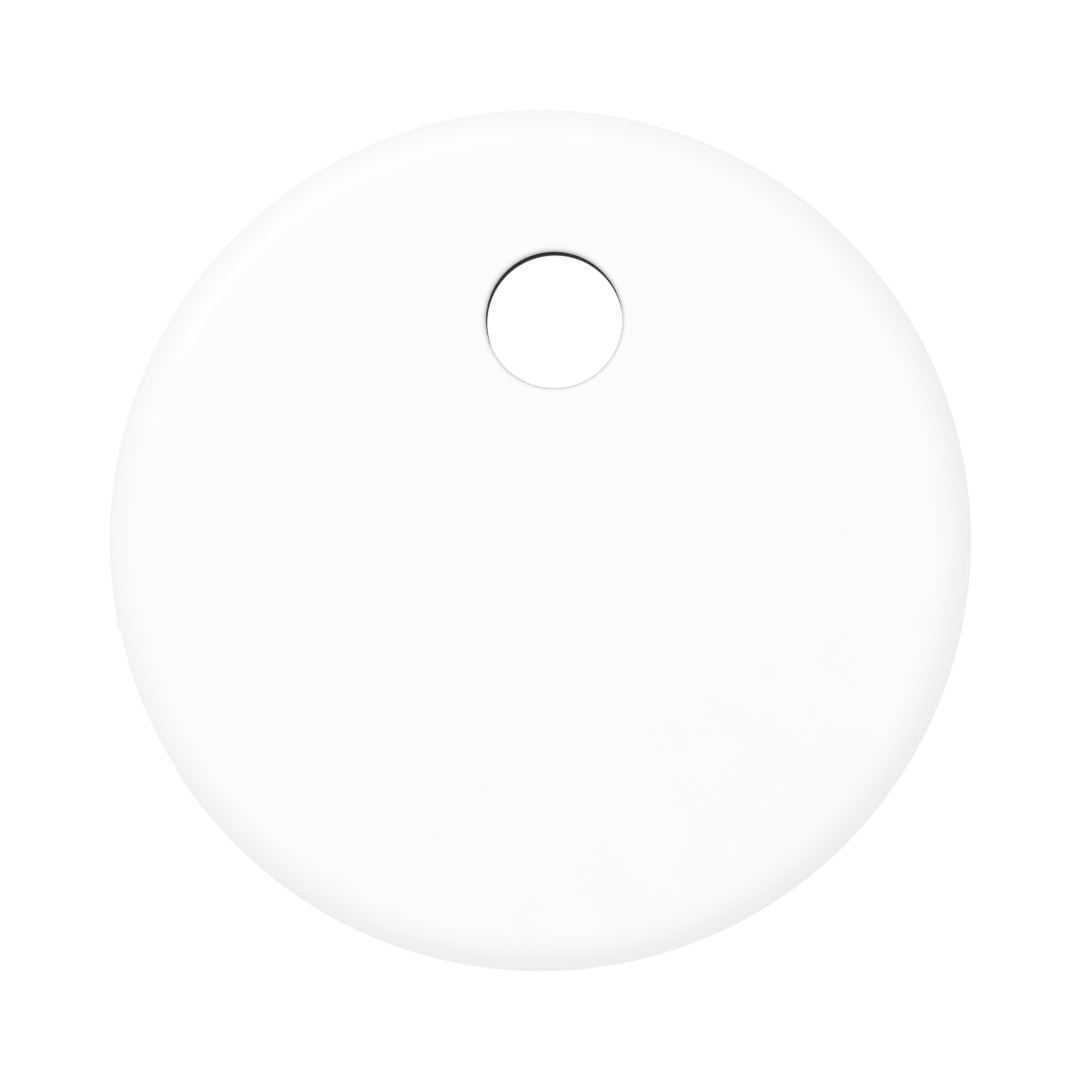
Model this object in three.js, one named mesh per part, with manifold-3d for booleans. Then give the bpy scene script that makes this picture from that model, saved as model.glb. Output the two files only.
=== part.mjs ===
// A round Bluetooth tracker tag: a slim white disc with a keyring hole near its edge.
//
// The tag lies on its rear face. The origin is the centre of that face, +Z points to the front
// face and +Y to the keyring hole. Units are millimetres.
//
// The rear shell is a tray that carries the sounder, the circuit board and the coin cell. The
// front cover snaps over it and comes straight off to change the cell. The whole cover is also
// the button: it gives by PRESS_TRAVEL, and a post inside it works a small switch on the board.
import * as THREE from "three";
import { mergeVertices } from "three/addons/utils/BufferGeometryUtils.js";
import Module from "manifold-3d";

// ---------------------------------------------------------------- driving dimensions

// Coin cell
const CELL_DIAMETER = 20;
const CELL_HEIGHT = 3.2;
const CELL_SHEET = 0.25; // pressed steel of its can and cap
const CELL_CRIMP = 1; // width of the can's rim, rolled in round the cap
const CELL_PROUD = 0.15; // the cap stands this far below the rolled rim
const CELL_EDGE_RADIUS = 0.3;
const SEAL_WALL = 0.3;
const ANODE_HEIGHT = 0.5;
const SEPARATOR_HEIGHT = 0.1;

// Keyring hole and its rubber sleeve
const HOLE_DIAMETER = 6;
const HOLE_LAND = 6.25; // from the hole's edge to the tag's rim
const HOLE_EDGE_RADIUS = 0.25;
const SLEEVE_WALL = 0.5;
const SLEEVE_GAP = 0.05;
const BOSS_WALL = 0.65;

// Shells
const REAR_WALL = 0.75;
const FRONT_WALL = 0.7;
const RIM_WALL = 1.2;
const EDGE_RADIUS = 1.5;
const LEDGE_HEIGHT = 0.4; // step inside the rear shell that carries the rim gasket
const GASKET_HEIGHT = 0.6;
const TONGUE_WALL = 0.8; // skirt of the front cover, inside the rear shell's rim
const TONGUE_GAP = 0.15;
const SNAP_STANDOFF = 0.03; // the barbs stop this short of the rim, so a rigid cover can lift
const SNAP_HEIGHT = 0.3;
const SNAP_LENGTH = 5;
const SNAP_ANGLES = [20, 90, 160, 250, 310];
const GROOVE_DEPTH = 0.25;
const GROOVE_LIP = 0.34;

// Button action
const PRESS_TRAVEL = 0.25;
const PRESS_CLEARANCE = 0.1; // seam left when the cover is pressed right down
const TOUCH_GAP = 0.02; // between pieces that only touch

// Pry slot across the seam, for opening the tag with a coin
const PRY_ANGLE = 205.6;
const PRY_WIDTH = 6.3;
const PRY_HEIGHT = 1.5;
const PRY_DEPTH = 0.7;

// Circuit board and the plastic stakes that hold it
const BOARD_THICKNESS = 0.6;
const BOARD_GAP = 0.2;
const STAKE_ANGLES = [72, 218, 322];
const STAKE_INSET = 1.5; // from the board's edge to a stake's axis
const STAKE_RADIUS = 0.45;
const STAKE_SHOULDER = 0.35;
const STAKE_HEAD_RADIUS = 0.75;
const STAKE_HEAD_HEIGHT = 0.3;
const STAKE_CLEARANCE = 0.08;

// Cell holder
const CELL_GAP = 0.2;
const HOLDER_WALL = 0.6;
const HOLDER_GAP = 0.35; // to the hole's boss and to the cover's skirt
const HOLDER_HEIGHT = 2.4;
const HOLDER_SILL = 0.5; // height left under its contact windows
const HOLDER_WINDOW = 3;
const HOLDER_NOTCH_ANGLE = 52;
const HOLDER_NOTCH_WIDTH = 6;
const HOLDER_NOTCH_DEPTH = 1.3;
const PEG_RADIUS = 0.2;
const PEG_CLEARANCE = 0.05;
const PEG_ANGLES = [110, 230, 310];

// Contacts under and beside the cell
const CONTACT_SHEET = 0.15;
const CONTACT_WIDTH = 2.2;
const CONTACT_FOOT = 1.3;
const CONTACT_RISE = 2.1;
const STAR_HEIGHT = 0.3;
const STAR_SHEET = 0.1;
const STAR_HUB_RADIUS = 2;
const STAR_REACH = 5.4;
const STAR_ARM_WIDTH = 1.5;
const STAR_ARMS = 3;

// Sounder, between the rear shell and the board
const PIEZO_GLUE = 0.1;
const PIEZO_PLATE = 0.1;
const PIEZO_CERAMIC = 0.1;
const PIEZO_INSET = 0.5; // how much smaller the brass plate is than the cell, in radius
const PIEZO_BARE = 2.3; // bare brass round the ceramic
const PIEZO_GLUE_WIDTH = 1.6;
const PIEZO_SPACE = 0.25;
const PIEZO_SPRING_LENGTH = 2.6;
const PIEZO_SPRING_WIDTH = 0.9;
const PIEZO_SPRING_SHEET = 0.08;

// Tactile switch under the cover's post
const SWITCH_FLOOR = 0.25;
const SWITCH_WELL_RADIUS = 1.25;
const SWITCH_PLATE = 0.12;
const DOME_HEIGHT = 0.3;
const DOME_SHEET = 0.06;
const PLUNGER_HEIGHT = 1.35;
const PLUNGER_RADIUS = 0.75;
const PLUNGER_CLEARANCE = 0.1;
const POST_RADIUS = 0.9;

// Foam pad on the cover, over the cell
const PAD_SPACE = 0.3;
const PAD_RADIUS = 4;

// Parts on the board: size along X, Y and Z, the angle that they lie at, and how far out they are
// from the middle of the strip that is free between the board's edge and the holder or the hole
const BOARD_PARTS = {
  bluetooth_chip: { size: [5, 5, 0.85], angle: 150, beyond: "holder", out: 0 },
  piezo_driver_chip: { size: [3, 3, 0.8], angle: 52, beyond: "holder", out: 0.8 },
  radio_crystal: { size: [2, 1.6, 0.5], angle: 118, beyond: "holder", out: 2.2 },
  clock_crystal: { size: [3.2, 1.5, 0.8], angle: 176, beyond: "holder", out: 0.5 },
  chip_antenna: { size: [4.2, 1.2, 1], angle: 90, beyond: "hole", out: 0 },
  boost_inductor: { size: [3, 3, 1.5], angle: 38.5, beyond: "holder", out: 2.4 },
  boost_diode: { size: [1.7, 1.25, 0.9], angle: 58, beyond: "holder", out: 3.5 },
  bulk_capacitor_1: { size: [3.2, 1.6, 1.6], angle: 2, beyond: "holder", out: 0.5 },
  bulk_capacitor_2: { size: [3.2, 1.6, 1.6], angle: 351, beyond: "holder", out: 0 },
  chip_capacitor_1: { size: [1, 0.5, 0.5], angle: 129, beyond: "holder", out: 2.2 },
  chip_capacitor_2: { size: [1, 0.5, 0.5], angle: 135.5, beyond: "holder", out: 3.3 },
  chip_capacitor_3: { size: [1, 0.5, 0.5], angle: 125, beyond: "holder", out: 3.9 },
  chip_capacitor_4: { size: [1, 0.5, 0.5], angle: 170.5, beyond: "holder", out: 1.1 },
  chip_capacitor_5: { size: [1, 0.5, 0.5], angle: 169, beyond: "holder", out: 2.7 },
  chip_capacitor_6: { size: [1, 0.5, 0.5], angle: 13, beyond: "holder", out: 2.9 },
  chip_resistor_1: { size: [1, 0.5, 0.35], angle: 183.5, beyond: "holder", out: 1.6 },
  chip_resistor_2: { size: [1, 0.5, 0.35], angle: 188.5, beyond: "holder", out: 1.3 },
  chip_resistor_3: { size: [1, 0.5, 0.35], angle: 108, beyond: "holder", out: 3.9 },
  chip_resistor_4: { size: [1, 0.5, 0.35], angle: 50, beyond: "holder", out: 4 },
  tactile_switch: { size: [4, 3, 1.2], angle: 20, beyond: "holder", out: 0.3 },
};

// Facets round a full turn, and steps along an edge radius
const RIM_FACETS = 64;
const CELL_FACETS = 40;
const HOLE_FACETS = 32;
const SMALL_FACETS = 16;
const SHELL_STEPS = 5;
const SMALL_STEPS = 2;

// ---------------------------------------------------------------- sizes that follow

const CELL_RADIUS = CELL_DIAMETER / 2;
const CAP_RADIUS = CELL_RADIUS - CELL_CRIMP - SEAL_WALL;
const HOLE_RADIUS = HOLE_DIAMETER / 2;
const SLEEVE_RADIUS = HOLE_RADIUS + SLEEVE_WALL;
const BOSS_BORE = SLEEVE_RADIUS + SLEEVE_GAP;
const BOSS_RADIUS = BOSS_BORE + BOSS_WALL;
const HOLDER_INNER = CELL_RADIUS + CELL_GAP;
const HOLDER_OUTER = HOLDER_INNER + HOLDER_WALL;

// Across the tag, from the rim beyond the cell to the rim beyond the keyring hole
const HOLDER_SPACE = CELL_GAP + HOLDER_WALL + HOLDER_GAP;
const RIM_TO_CELL = RIM_WALL + TONGUE_GAP + TONGUE_WALL + HOLDER_SPACE;
const CELL_TO_HOLE = HOLDER_SPACE + BOSS_RADIUS - HOLE_RADIUS;
const TAG_DIAMETER = RIM_TO_CELL + CELL_DIAMETER + CELL_TO_HOLE + HOLE_DIAMETER + HOLE_LAND;
const TAG_RADIUS = TAG_DIAMETER / 2;
const HOLE_Y = TAG_RADIUS - HOLE_LAND - HOLE_RADIUS;
const CELL_Y = RIM_TO_CELL + CELL_RADIUS - TAG_RADIUS;

// Up through the tag, from the rear face to the front face
const PLATE_BOTTOM = REAR_WALL + PIEZO_GLUE;
const PLATE_TOP = PLATE_BOTTOM + PIEZO_PLATE;
const CERAMIC_TOP = PLATE_TOP + PIEZO_CERAMIC;
const BOARD_BOTTOM = CERAMIC_TOP + PIEZO_SPACE;
const BOARD_TOP = BOARD_BOTTOM + BOARD_THICKNESS;
const CELL_BOTTOM = BOARD_TOP + STAR_HEIGHT;
const CELL_TOP = CELL_BOTTOM + CELL_HEIGHT;
const FRONT_INSIDE = CELL_TOP + PAD_SPACE;
const TAG_THICKNESS = FRONT_INSIDE + FRONT_WALL;

const SEAM_GAP = PRESS_TRAVEL + PRESS_CLEARANCE;
const REAR_RIM_TOP = (TAG_THICKNESS - SEAM_GAP) / 2;
const FRONT_RIM_BOTTOM = REAR_RIM_TOP + SEAM_GAP;
const LEDGE_TOP = REAR_WALL + LEDGE_HEIGHT;
const TONGUE_BOTTOM = LEDGE_TOP + GASKET_HEIGHT;
const SNAP_TOP = REAR_RIM_TOP - GROOVE_LIP - TOUCH_GAP;
const SNAP_BOTTOM = SNAP_TOP - SNAP_HEIGHT;
const GROOVE_BOTTOM = SNAP_BOTTOM - PRESS_TRAVEL - TOUCH_GAP;

const RIM_INNER = TAG_RADIUS - RIM_WALL;
const TONGUE_OUTER = RIM_INNER - TONGUE_GAP;
const TONGUE_INNER = TONGUE_OUTER - TONGUE_WALL;
const LEDGE_INNER = TONGUE_INNER - TONGUE_GAP / 2;
const BOARD_RADIUS = LEDGE_INNER - BOARD_GAP;
const PIEZO_RADIUS = CELL_RADIUS - PIEZO_INSET;
const CERAMIC_RADIUS = PIEZO_RADIUS - PIEZO_BARE;

const [SWITCH_LENGTH, SWITCH_WIDTH, SWITCH_HEIGHT] = BOARD_PARTS.tactile_switch.size;
const PLUNGER_BOTTOM = BOARD_TOP + SWITCH_FLOOR + DOME_HEIGHT + TOUCH_GAP;
const PLUNGER_TOP = PLUNGER_BOTTOM + PLUNGER_HEIGHT;

// ---------------------------------------------------------------- geometry helpers

const wasm = await Module();
wasm.setup();

// The point [x, y] at a radius and an angle in degrees.
function polar(radius, degrees) {
  const turn = THREE.MathUtils.degToRad(degrees);
  return [radius * Math.cos(turn), radius * Math.sin(turn)];
}

// How far from the tag's centre a ray leaves a circle that is centred on the Y axis.
function rayLeaves(centreY, radius, degrees) {
  const [x, y] = polar(centreY, degrees);
  const past = radius * radius - x * x;
  return past > 0 ? y + Math.sqrt(past) : 0;
}

function placeOnBoard(name) {
  const { angle, beyond, out } = BOARD_PARTS[name];
  const pastHolder = rayLeaves(CELL_Y, HOLDER_OUTER, angle);
  const pastHole = rayLeaves(HOLE_Y, BOSS_RADIUS + BOARD_GAP, angle);
  const inner = beyond === "hole" ? pastHole : pastHolder;
  return polar((inner + BOARD_RADIUS) / 2 + out, angle);
}

// Points along an arc of a profile, from one angle to another in degrees.
function arc(x, y, radius, from, to, steps) {
  const points = [];
  for (let i = 0; i <= steps; i++) {
    const [dx, dy] = polar(radius, from + ((to - from) * i) / steps);
    points.push([x + dx, y + dy]);
  }
  return points;
}

// A profile of [radius, height] points turned about +Z, with its faces pointing outwards.
// A profile that keeps off the axis is closed on itself.
function turned(profile, facets) {
  const points = profile.map(([radius, height]) => new THREE.Vector2(radius, height));
  if (THREE.ShapeUtils.area(points) < 0) points.reverse();
  if (points[0].x > 0) points.push(points[0].clone());
  return new THREE.LatheGeometry(points, facets).rotateX(Math.PI / 2);
}

function ring(inner, outer, bottom, top, facets) {
  const profile = [[inner, bottom], [outer, bottom], [outer, top], [inner, top]];
  return turned(profile, facets);
}

function disc(radius, bottom, top, facets) {
  const profile = [[0, bottom], [radius, bottom], [radius, top], [0, top]];
  return turned(profile, facets);
}

function box(length, width, bottom, top) {
  const middle = (bottom + top) / 2;
  return new THREE.BoxGeometry(length, width, top - bottom).translate(0, 0, middle);
}

// A box standing on z = 0 with its upper and lower edges bevelled.
function block(length, width, height, bevel) {
  const x = length / 2 - bevel;
  const y = width / 2 - bevel;
  const corners = [[-x, -y], [x, -y], [x, y], [-x, y]];
  const outline = new THREE.Shape(corners.map((corner) => new THREE.Vector2(...corner)));
  const depth = height - 2 * bevel;
  const options = { depth, bevelThickness: bevel, bevelSize: bevel, bevelSegments: 1 };
  return new THREE.ExtrudeGeometry(outline, options).translate(0, 0, bevel);
}

// Sheet metal folded along a line of [x, z] points, with its width along Y.
function strip(line, sheet, width) {
  const points = line.map(([x, z]) => new THREE.Vector2(x, z));
  const last = points.length - 1;
  const upper = [];
  const lower = [];
  for (let i = 0; i <= last; i++) {
    const arriving = points[Math.max(i, 1)].clone().sub(points[Math.max(i, 1) - 1]).normalize();
    const leaving = points[Math.min(i + 1, last)].clone().sub(points[Math.min(i, last - 1)]);
    leaving.normalize();
    const along = arriving.add(leaving).normalize();
    const reach = sheet / 2 / along.dot(leaving);
    const across = new THREE.Vector2(-along.y, along.x).multiplyScalar(reach);
    upper.push(points[i].clone().add(across));
    lower.unshift(points[i].clone().sub(across));
  }
  const outline = new THREE.Shape([...upper, ...lower]);
  const folded = new THREE.ExtrudeGeometry(outline, { depth: width, bevelEnabled: false });
  return folded.rotateX(Math.PI / 2).translate(0, width / 2, 0);
}

// A geometry as a solid that can be joined, cut or intersected.
function solid(geometry) {
  const bare = geometry.clone();
  bare.deleteAttribute("normal");
  bare.deleteAttribute("uv");
  const merged = mergeVertices(bare);
  const corners = merged.index.array;
  const kept = [];
  for (let i = 0; i < corners.length; i += 3) {
    const [a, b, c] = [corners[i], corners[i + 1], corners[i + 2]];
    if (a !== b && b !== c && c !== a) kept.push(a, b, c);
  }
  const vertProperties = new Float32Array(merged.attributes.position.array);
  const triVerts = new Uint32Array(kept);
  return new wasm.Manifold(new wasm.Mesh({ numProp: 3, vertProperties, triVerts }));
}

function geometryOf(made) {
  const mesh = made.getMesh();
  const geometry = new THREE.BufferGeometry();
  geometry.setAttribute("position", new THREE.BufferAttribute(mesh.vertProperties, 3));
  geometry.setIndex(new THREE.BufferAttribute(mesh.triVerts, 1));
  return geometry;
}

// A geometry with others joined to it, and then others cut out of it.
function built(base, joined, cut) {
  let made = solid(base);
  for (const piece of joined) made = made.add(solid(piece));
  for (const piece of cut) made = made.subtract(solid(piece));
  return geometryOf(made);
}

// The length of a ring about the origin that is centred on an angle.
function sectorOf(whole, radius, length, degrees) {
  const reach = radius * 2;
  const half = reach * Math.tan(length / radius / 2);
  const corners = [[0, 0], [reach, -half], [reach, half]];
  const outline = new THREE.Shape(corners.map((corner) => new THREE.Vector2(...corner)));
  const wedge = new THREE.ExtrudeGeometry(outline, { depth: reach, bevelEnabled: false });
  wedge.translate(0, 0, -reach / 2).rotateZ(THREE.MathUtils.degToRad(degrees));
  return geometryOf(solid(whole).intersect(solid(wedge)));
}

// ---------------------------------------------------------------- materials

function material(color, roughness, metalness) {
  return new THREE.MeshStandardMaterial({ color, roughness, metalness });
}

const SHELL_PLASTIC = material(0xf4f4f2, 0.45, 0);
const SEAL_RUBBER = material(0x161616, 0.7, 0);
const GASKET_SILICONE = material(0x8f9396, 0.6, 0);
const HOLDER_PLASTIC = material(0x1d1e20, 0.55, 0);
const BOARD_LAMINATE = material(0x0e3b2a, 0.4, 0);
const CHIP_EPOXY = material(0x1b1b1c, 0.6, 0);
const CRYSTAL_METAL = material(0xb9b7b0, 0.3, 1);
const ANTENNA_CERAMIC = material(0xe9e6dc, 0.5, 0);
const CAPACITOR_CERAMIC = material(0xa98a63, 0.5, 0);
const INDUCTOR_FERRITE = material(0x3a3a3c, 0.65, 0);
const SPRING_BRONZE = material(0xd9b56a, 0.3, 1);
const CELL_STEEL = material(0xc9cacb, 0.3, 1);
const CELL_NYLON = material(0x30343a, 0.6, 0);
const CELL_LITHIUM = material(0xa9abae, 0.5, 1);
const CELL_OXIDE = material(0x2b2b2b, 0.9, 0);
const SEPARATOR_FELT = material(0xe4e3dd, 0.9, 0);
const PIEZO_BRASS = material(0xc9a35a, 0.35, 1);
const PIEZO_SILVER = material(0xcfcdc8, 0.45, 0);
const GLUE_TAPE = material(0xe8e4d4, 0.6, 0);
const SWITCH_STEEL = material(0xc4c5c7, 0.3, 1);
const SWITCH_PLASTIC = material(0x202022, 0.5, 0);
const PAD_FOAM = material(0x4a4b4e, 0.95, 0);

// ---------------------------------------------------------------- shells and hole sleeve

// The cutter for the keyring hole through one wall, flared at the outer face to round its edge.
function holeCutter() {
  const mouth = HOLE_RADIUS + HOLE_EDGE_RADIUS;
  const past = Math.max(REAR_WALL, FRONT_WALL) * 2;
  const profile = [
    [0, -HOLE_EDGE_RADIUS],
    [mouth, -HOLE_EDGE_RADIUS],
    ...arc(mouth, HOLE_EDGE_RADIUS, HOLE_EDGE_RADIUS, 270, 180, SMALL_STEPS),
    [HOLE_RADIUS, past],
    [0, past],
  ];
  return turned(profile, HOLE_FACETS);
}

function holeBoss(bottom, top) {
  return ring(BOSS_BORE, BOSS_RADIUS, bottom, top, HOLE_FACETS).translate(0, HOLE_Y, 0);
}

function pryCutter() {
  const length = PRY_DEPTH * 2;
  const half = (PRY_WIDTH - PRY_HEIGHT) / 2;
  const round = PRY_HEIGHT / 2;
  const outline = new THREE.Shape();
  outline.absarc(half, 0, round, -Math.PI / 2, Math.PI / 2);
  outline.absarc(-half, 0, round, Math.PI / 2, (Math.PI * 3) / 2);
  const options = { depth: length, bevelEnabled: false, curveSegments: 8 };
  const cutter = new THREE.ExtrudeGeometry(outline, options);
  cutter.rotateX(Math.PI / 2).rotateZ(Math.PI / 2);
  cutter.translate(TAG_RADIUS - PRY_DEPTH, 0, TAG_THICKNESS / 2);
  return cutter.rotateZ(THREE.MathUtils.degToRad(PRY_ANGLE));
}

// A post under the board, its pin through the board and the melted head over it.
function stake(degrees) {
  const shoulder = STAKE_RADIUS + STAKE_SHOULDER;
  const headBottom = BOARD_TOP + TOUCH_GAP;
  const headTop = headBottom + STAKE_HEAD_HEIGHT;
  const profile = [
    [0, REAR_WALL / 2],
    [shoulder, REAR_WALL / 2],
    [shoulder, BOARD_BOTTOM - TOUCH_GAP],
    [STAKE_RADIUS, BOARD_BOTTOM - TOUCH_GAP],
    [STAKE_RADIUS, headBottom],
    [STAKE_HEAD_RADIUS, headBottom],
    [STAKE_HEAD_RADIUS, headTop - STAKE_HEAD_HEIGHT / 2],
    [STAKE_RADIUS, headTop],
    [0, headTop],
  ];
  const at = polar(BOARD_RADIUS - STAKE_INSET, degrees);
  return turned(profile, SMALL_FACETS).translate(...at, 0);
}

function rearShell() {
  const groove = RIM_INNER + GROOVE_DEPTH;
  const profile = [
    [0, 0],
    ...arc(TAG_RADIUS - EDGE_RADIUS, EDGE_RADIUS, EDGE_RADIUS, 270, 360, SHELL_STEPS),
    [TAG_RADIUS, REAR_RIM_TOP],
    [RIM_INNER, REAR_RIM_TOP],
    [RIM_INNER, SNAP_TOP + TOUCH_GAP],
    [groove, SNAP_TOP + TOUCH_GAP],
    [groove, GROOVE_BOTTOM],
    [RIM_INNER, GROOVE_BOTTOM],
    [RIM_INNER, LEDGE_TOP],
    [LEDGE_INNER, LEDGE_TOP],
    [LEDGE_INNER, REAR_WALL],
    [0, REAR_WALL],
  ];
  const tray = turned(profile, RIM_FACETS);
  const boss = holeBoss(REAR_WALL / 2, REAR_RIM_TOP);
  const hole = holeCutter().translate(0, HOLE_Y, 0);
  return built(tray, [boss, ...STAKE_ANGLES.map(stake)], [hole, pryCutter()]);
}

// A barb on the outside of the skirt, sloped below to ride in and flat on top to catch.
function snapBarb(degrees) {
  const reach = RIM_INNER - SNAP_STANDOFF;
  const root = TONGUE_OUTER - TONGUE_WALL / 2;
  const profile = [
    [root, SNAP_BOTTOM],
    [TONGUE_OUTER, SNAP_BOTTOM],
    [reach, SNAP_BOTTOM + SNAP_HEIGHT / 2],
    [reach, SNAP_TOP],
    [root, SNAP_TOP],
  ];
  return sectorOf(turned(profile, RIM_FACETS), TONGUE_OUTER, SNAP_LENGTH, degrees);
}

function frontCover() {
  const shoulder = TAG_THICKNESS - EDGE_RADIUS;
  const corner = RIM_INNER - FRONT_WALL;
  const thinning = FRONT_RIM_BOTTOM + RIM_WALL / 2;
  const chamfer = TONGUE_WALL / 4;
  const profile = [
    [0, TAG_THICKNESS],
    ...arc(TAG_RADIUS - EDGE_RADIUS, shoulder, EDGE_RADIUS, 90, 0, SHELL_STEPS),
    [TAG_RADIUS, FRONT_RIM_BOTTOM],
    [TONGUE_OUTER, FRONT_RIM_BOTTOM],
    [TONGUE_OUTER, TONGUE_BOTTOM + chamfer],
    [TONGUE_OUTER - chamfer, TONGUE_BOTTOM],
    [TONGUE_INNER, TONGUE_BOTTOM],
    [TONGUE_INNER, thinning],
    [RIM_INNER, thinning + RIM_INNER - TONGUE_INNER],
    ...arc(corner, FRONT_INSIDE - FRONT_WALL, FRONT_WALL, 0, 90, SMALL_STEPS),
    [0, FRONT_INSIDE],
  ];
  const shell = turned(profile, RIM_FACETS);
  const boss = holeBoss(FRONT_RIM_BOTTOM, FRONT_INSIDE + FRONT_WALL / 2);
  const at = placeOnBoard("tactile_switch");
  const postTop = FRONT_INSIDE + FRONT_WALL / 2;
  const post = disc(POST_RADIUS, PLUNGER_TOP + TOUCH_GAP, postTop, SMALL_FACETS);
  const hole = holeCutter().rotateX(Math.PI).translate(0, HOLE_Y, TAG_THICKNESS);
  const joined = [boss, post.translate(...at, 0), ...SNAP_ANGLES.map(snapBarb)];
  return built(shell, joined, [hole, pryCutter()]);
}

function holeSleeve() {
  const tube = ring(HOLE_RADIUS, SLEEVE_RADIUS, REAR_WALL, FRONT_INSIDE, HOLE_FACETS);
  return tube.translate(0, HOLE_Y, 0);
}

function rimGasket() {
  return ring(TONGUE_INNER, TONGUE_OUTER, LEDGE_TOP, TONGUE_BOTTOM, RIM_FACETS);
}

function cellPad() {
  const pad = disc(PAD_RADIUS, CELL_TOP + TOUCH_GAP, FRONT_INSIDE, SMALL_FACETS);
  return pad.translate(0, CELL_Y, 0);
}

// ---------------------------------------------------------------- sounder

function piezoAdhesive() {
  const inner = PIEZO_RADIUS - PIEZO_GLUE_WIDTH;
  const glue = ring(inner, PIEZO_RADIUS, REAR_WALL, PLATE_BOTTOM, CELL_FACETS);
  return glue.translate(0, CELL_Y, 0);
}

function piezoPlate() {
  return disc(PIEZO_RADIUS, PLATE_BOTTOM, PLATE_TOP, CELL_FACETS).translate(0, CELL_Y, 0);
}

function piezoCeramic() {
  return disc(CERAMIC_RADIUS, PLATE_TOP, CERAMIC_TOP, CELL_FACETS).translate(0, CELL_Y, 0);
}

// A leaf spring under the board that reaches down to one face of the sounder.
function piezoContact(landing, fromCentre) {
  const half = PIEZO_SPRING_LENGTH / 2;
  const foot = BOARD_BOTTOM - PIEZO_SPRING_SHEET / 2;
  const touch = landing + TOUCH_GAP + PIEZO_SPRING_SHEET / 2;
  const tip = touch + PIEZO_SPRING_SHEET;
  const line = [[-half, foot], [-half / 4, foot], [half * 0.7, touch], [half, tip]];
  const leaf = strip(line, PIEZO_SPRING_SHEET, PIEZO_SPRING_WIDTH);
  return leaf.translate(0, CELL_Y + fromCentre, 0);
}

// ---------------------------------------------------------------- board, holder and contacts

function pegCentre(degrees) {
  const [x, y] = polar((HOLDER_INNER + HOLDER_OUTER) / 2, degrees);
  return [x, y + CELL_Y];
}

function circuitBoard() {
  const board = disc(BOARD_RADIUS, BOARD_BOTTOM, BOARD_TOP, RIM_FACETS);
  const under = BOARD_BOTTOM - BOARD_THICKNESS;
  const over = BOARD_TOP + BOARD_THICKNESS;
  const opening = disc(BOSS_RADIUS + BOARD_GAP, under, over, HOLE_FACETS);
  const stakeHoles = STAKE_ANGLES.map((degrees) => {
    const at = polar(BOARD_RADIUS - STAKE_INSET, degrees);
    const hole = disc(STAKE_RADIUS + STAKE_CLEARANCE, under, over, SMALL_FACETS);
    return hole.translate(...at, 0);
  });
  const pegHoles = PEG_ANGLES.map((degrees) => {
    const hole = disc(PEG_RADIUS + PEG_CLEARANCE, under, over, SMALL_FACETS);
    return hole.translate(...pegCentre(degrees), 0);
  });
  return built(board, [], [opening.translate(0, HOLE_Y, 0), ...stakeHoles, ...pegHoles]);
}

function batteryHolder() {
  const top = BOARD_TOP + HOLDER_HEIGHT;
  const over = top + HOLDER_HEIGHT;
  const wall = ring(HOLDER_INNER, HOLDER_OUTER, BOARD_TOP, top, CELL_FACETS);
  const length = HOLDER_OUTER * 3;
  const windows = box(length, HOLDER_WINDOW, BOARD_TOP + HOLDER_SILL, over);
  const notch = box(length / 2, HOLDER_NOTCH_WIDTH, top - HOLDER_NOTCH_DEPTH, over);
  notch.translate(length / 4, 0, 0).rotateZ(THREE.MathUtils.degToRad(HOLDER_NOTCH_ANGLE));
  const pegs = PEG_ANGLES.map((degrees) => {
    const [x, y] = pegCentre(degrees);
    const peg = disc(PEG_RADIUS, BOARD_BOTTOM, BOARD_TOP + HOLDER_SILL / 2, SMALL_FACETS);
    return peg.translate(x, y - CELL_Y, 0);
  });
  return built(wall, pegs, [windows, notch]).translate(0, CELL_Y, 0);
}

// The sprung star that meets the cell's cap: a raised hub on arms that are soldered at their ends.
function negativeContact() {
  const hubTop = CELL_BOTTOM - TOUCH_GAP;
  const hub = disc(STAR_HUB_RADIUS, hubTop - STAR_SHEET, hubTop, SMALL_FACETS);
  const middle = hubTop - STAR_SHEET / 2;
  const foot = BOARD_TOP + STAR_SHEET / 2;
  const line = [
    [0, middle],
    [STAR_HUB_RADIUS, middle],
    [STAR_REACH * 0.75, foot],
    [STAR_REACH, foot],
  ];
  const arms = [];
  for (let i = 0; i < STAR_ARMS; i++) {
    const arm = strip(line, STAR_SHEET, STAR_ARM_WIDTH);
    arms.push(arm.rotateZ(Math.PI / 2 + (i * Math.PI * 2) / STAR_ARMS));
  }
  return built(hub, arms, []).translate(0, CELL_Y, 0);
}

// The clip beside the cell, on the +X side: foot, upright, and a finger that bears on the can.
function positiveContact() {
  const foot = BOARD_TOP + CONTACT_SHEET / 2;
  const upright = HOLDER_OUTER + CONTACT_SHEET * 1.2;
  const top = BOARD_TOP + CONTACT_RISE;
  const bearing = CELL_RADIUS + TOUCH_GAP + CONTACT_SHEET * 0.8;
  const line = [
    [upright + CONTACT_FOOT, foot],
    [upright, foot],
    [upright, top],
    [bearing, top - CONTACT_RISE * 0.3],
    [bearing + CONTACT_SHEET, top - CONTACT_RISE * 0.5],
  ];
  return strip(line, CONTACT_SHEET, CONTACT_WIDTH);
}

function positiveContactRight() {
  return positiveContact().translate(0, CELL_Y, 0);
}

function positiveContactLeft() {
  return positiveContact().rotateZ(Math.PI).translate(0, CELL_Y, 0);
}

// ---------------------------------------------------------------- parts on the board

function onBoard(name, geometry) {
  return geometry.translate(...placeOnBoard(name), BOARD_TOP);
}

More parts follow.
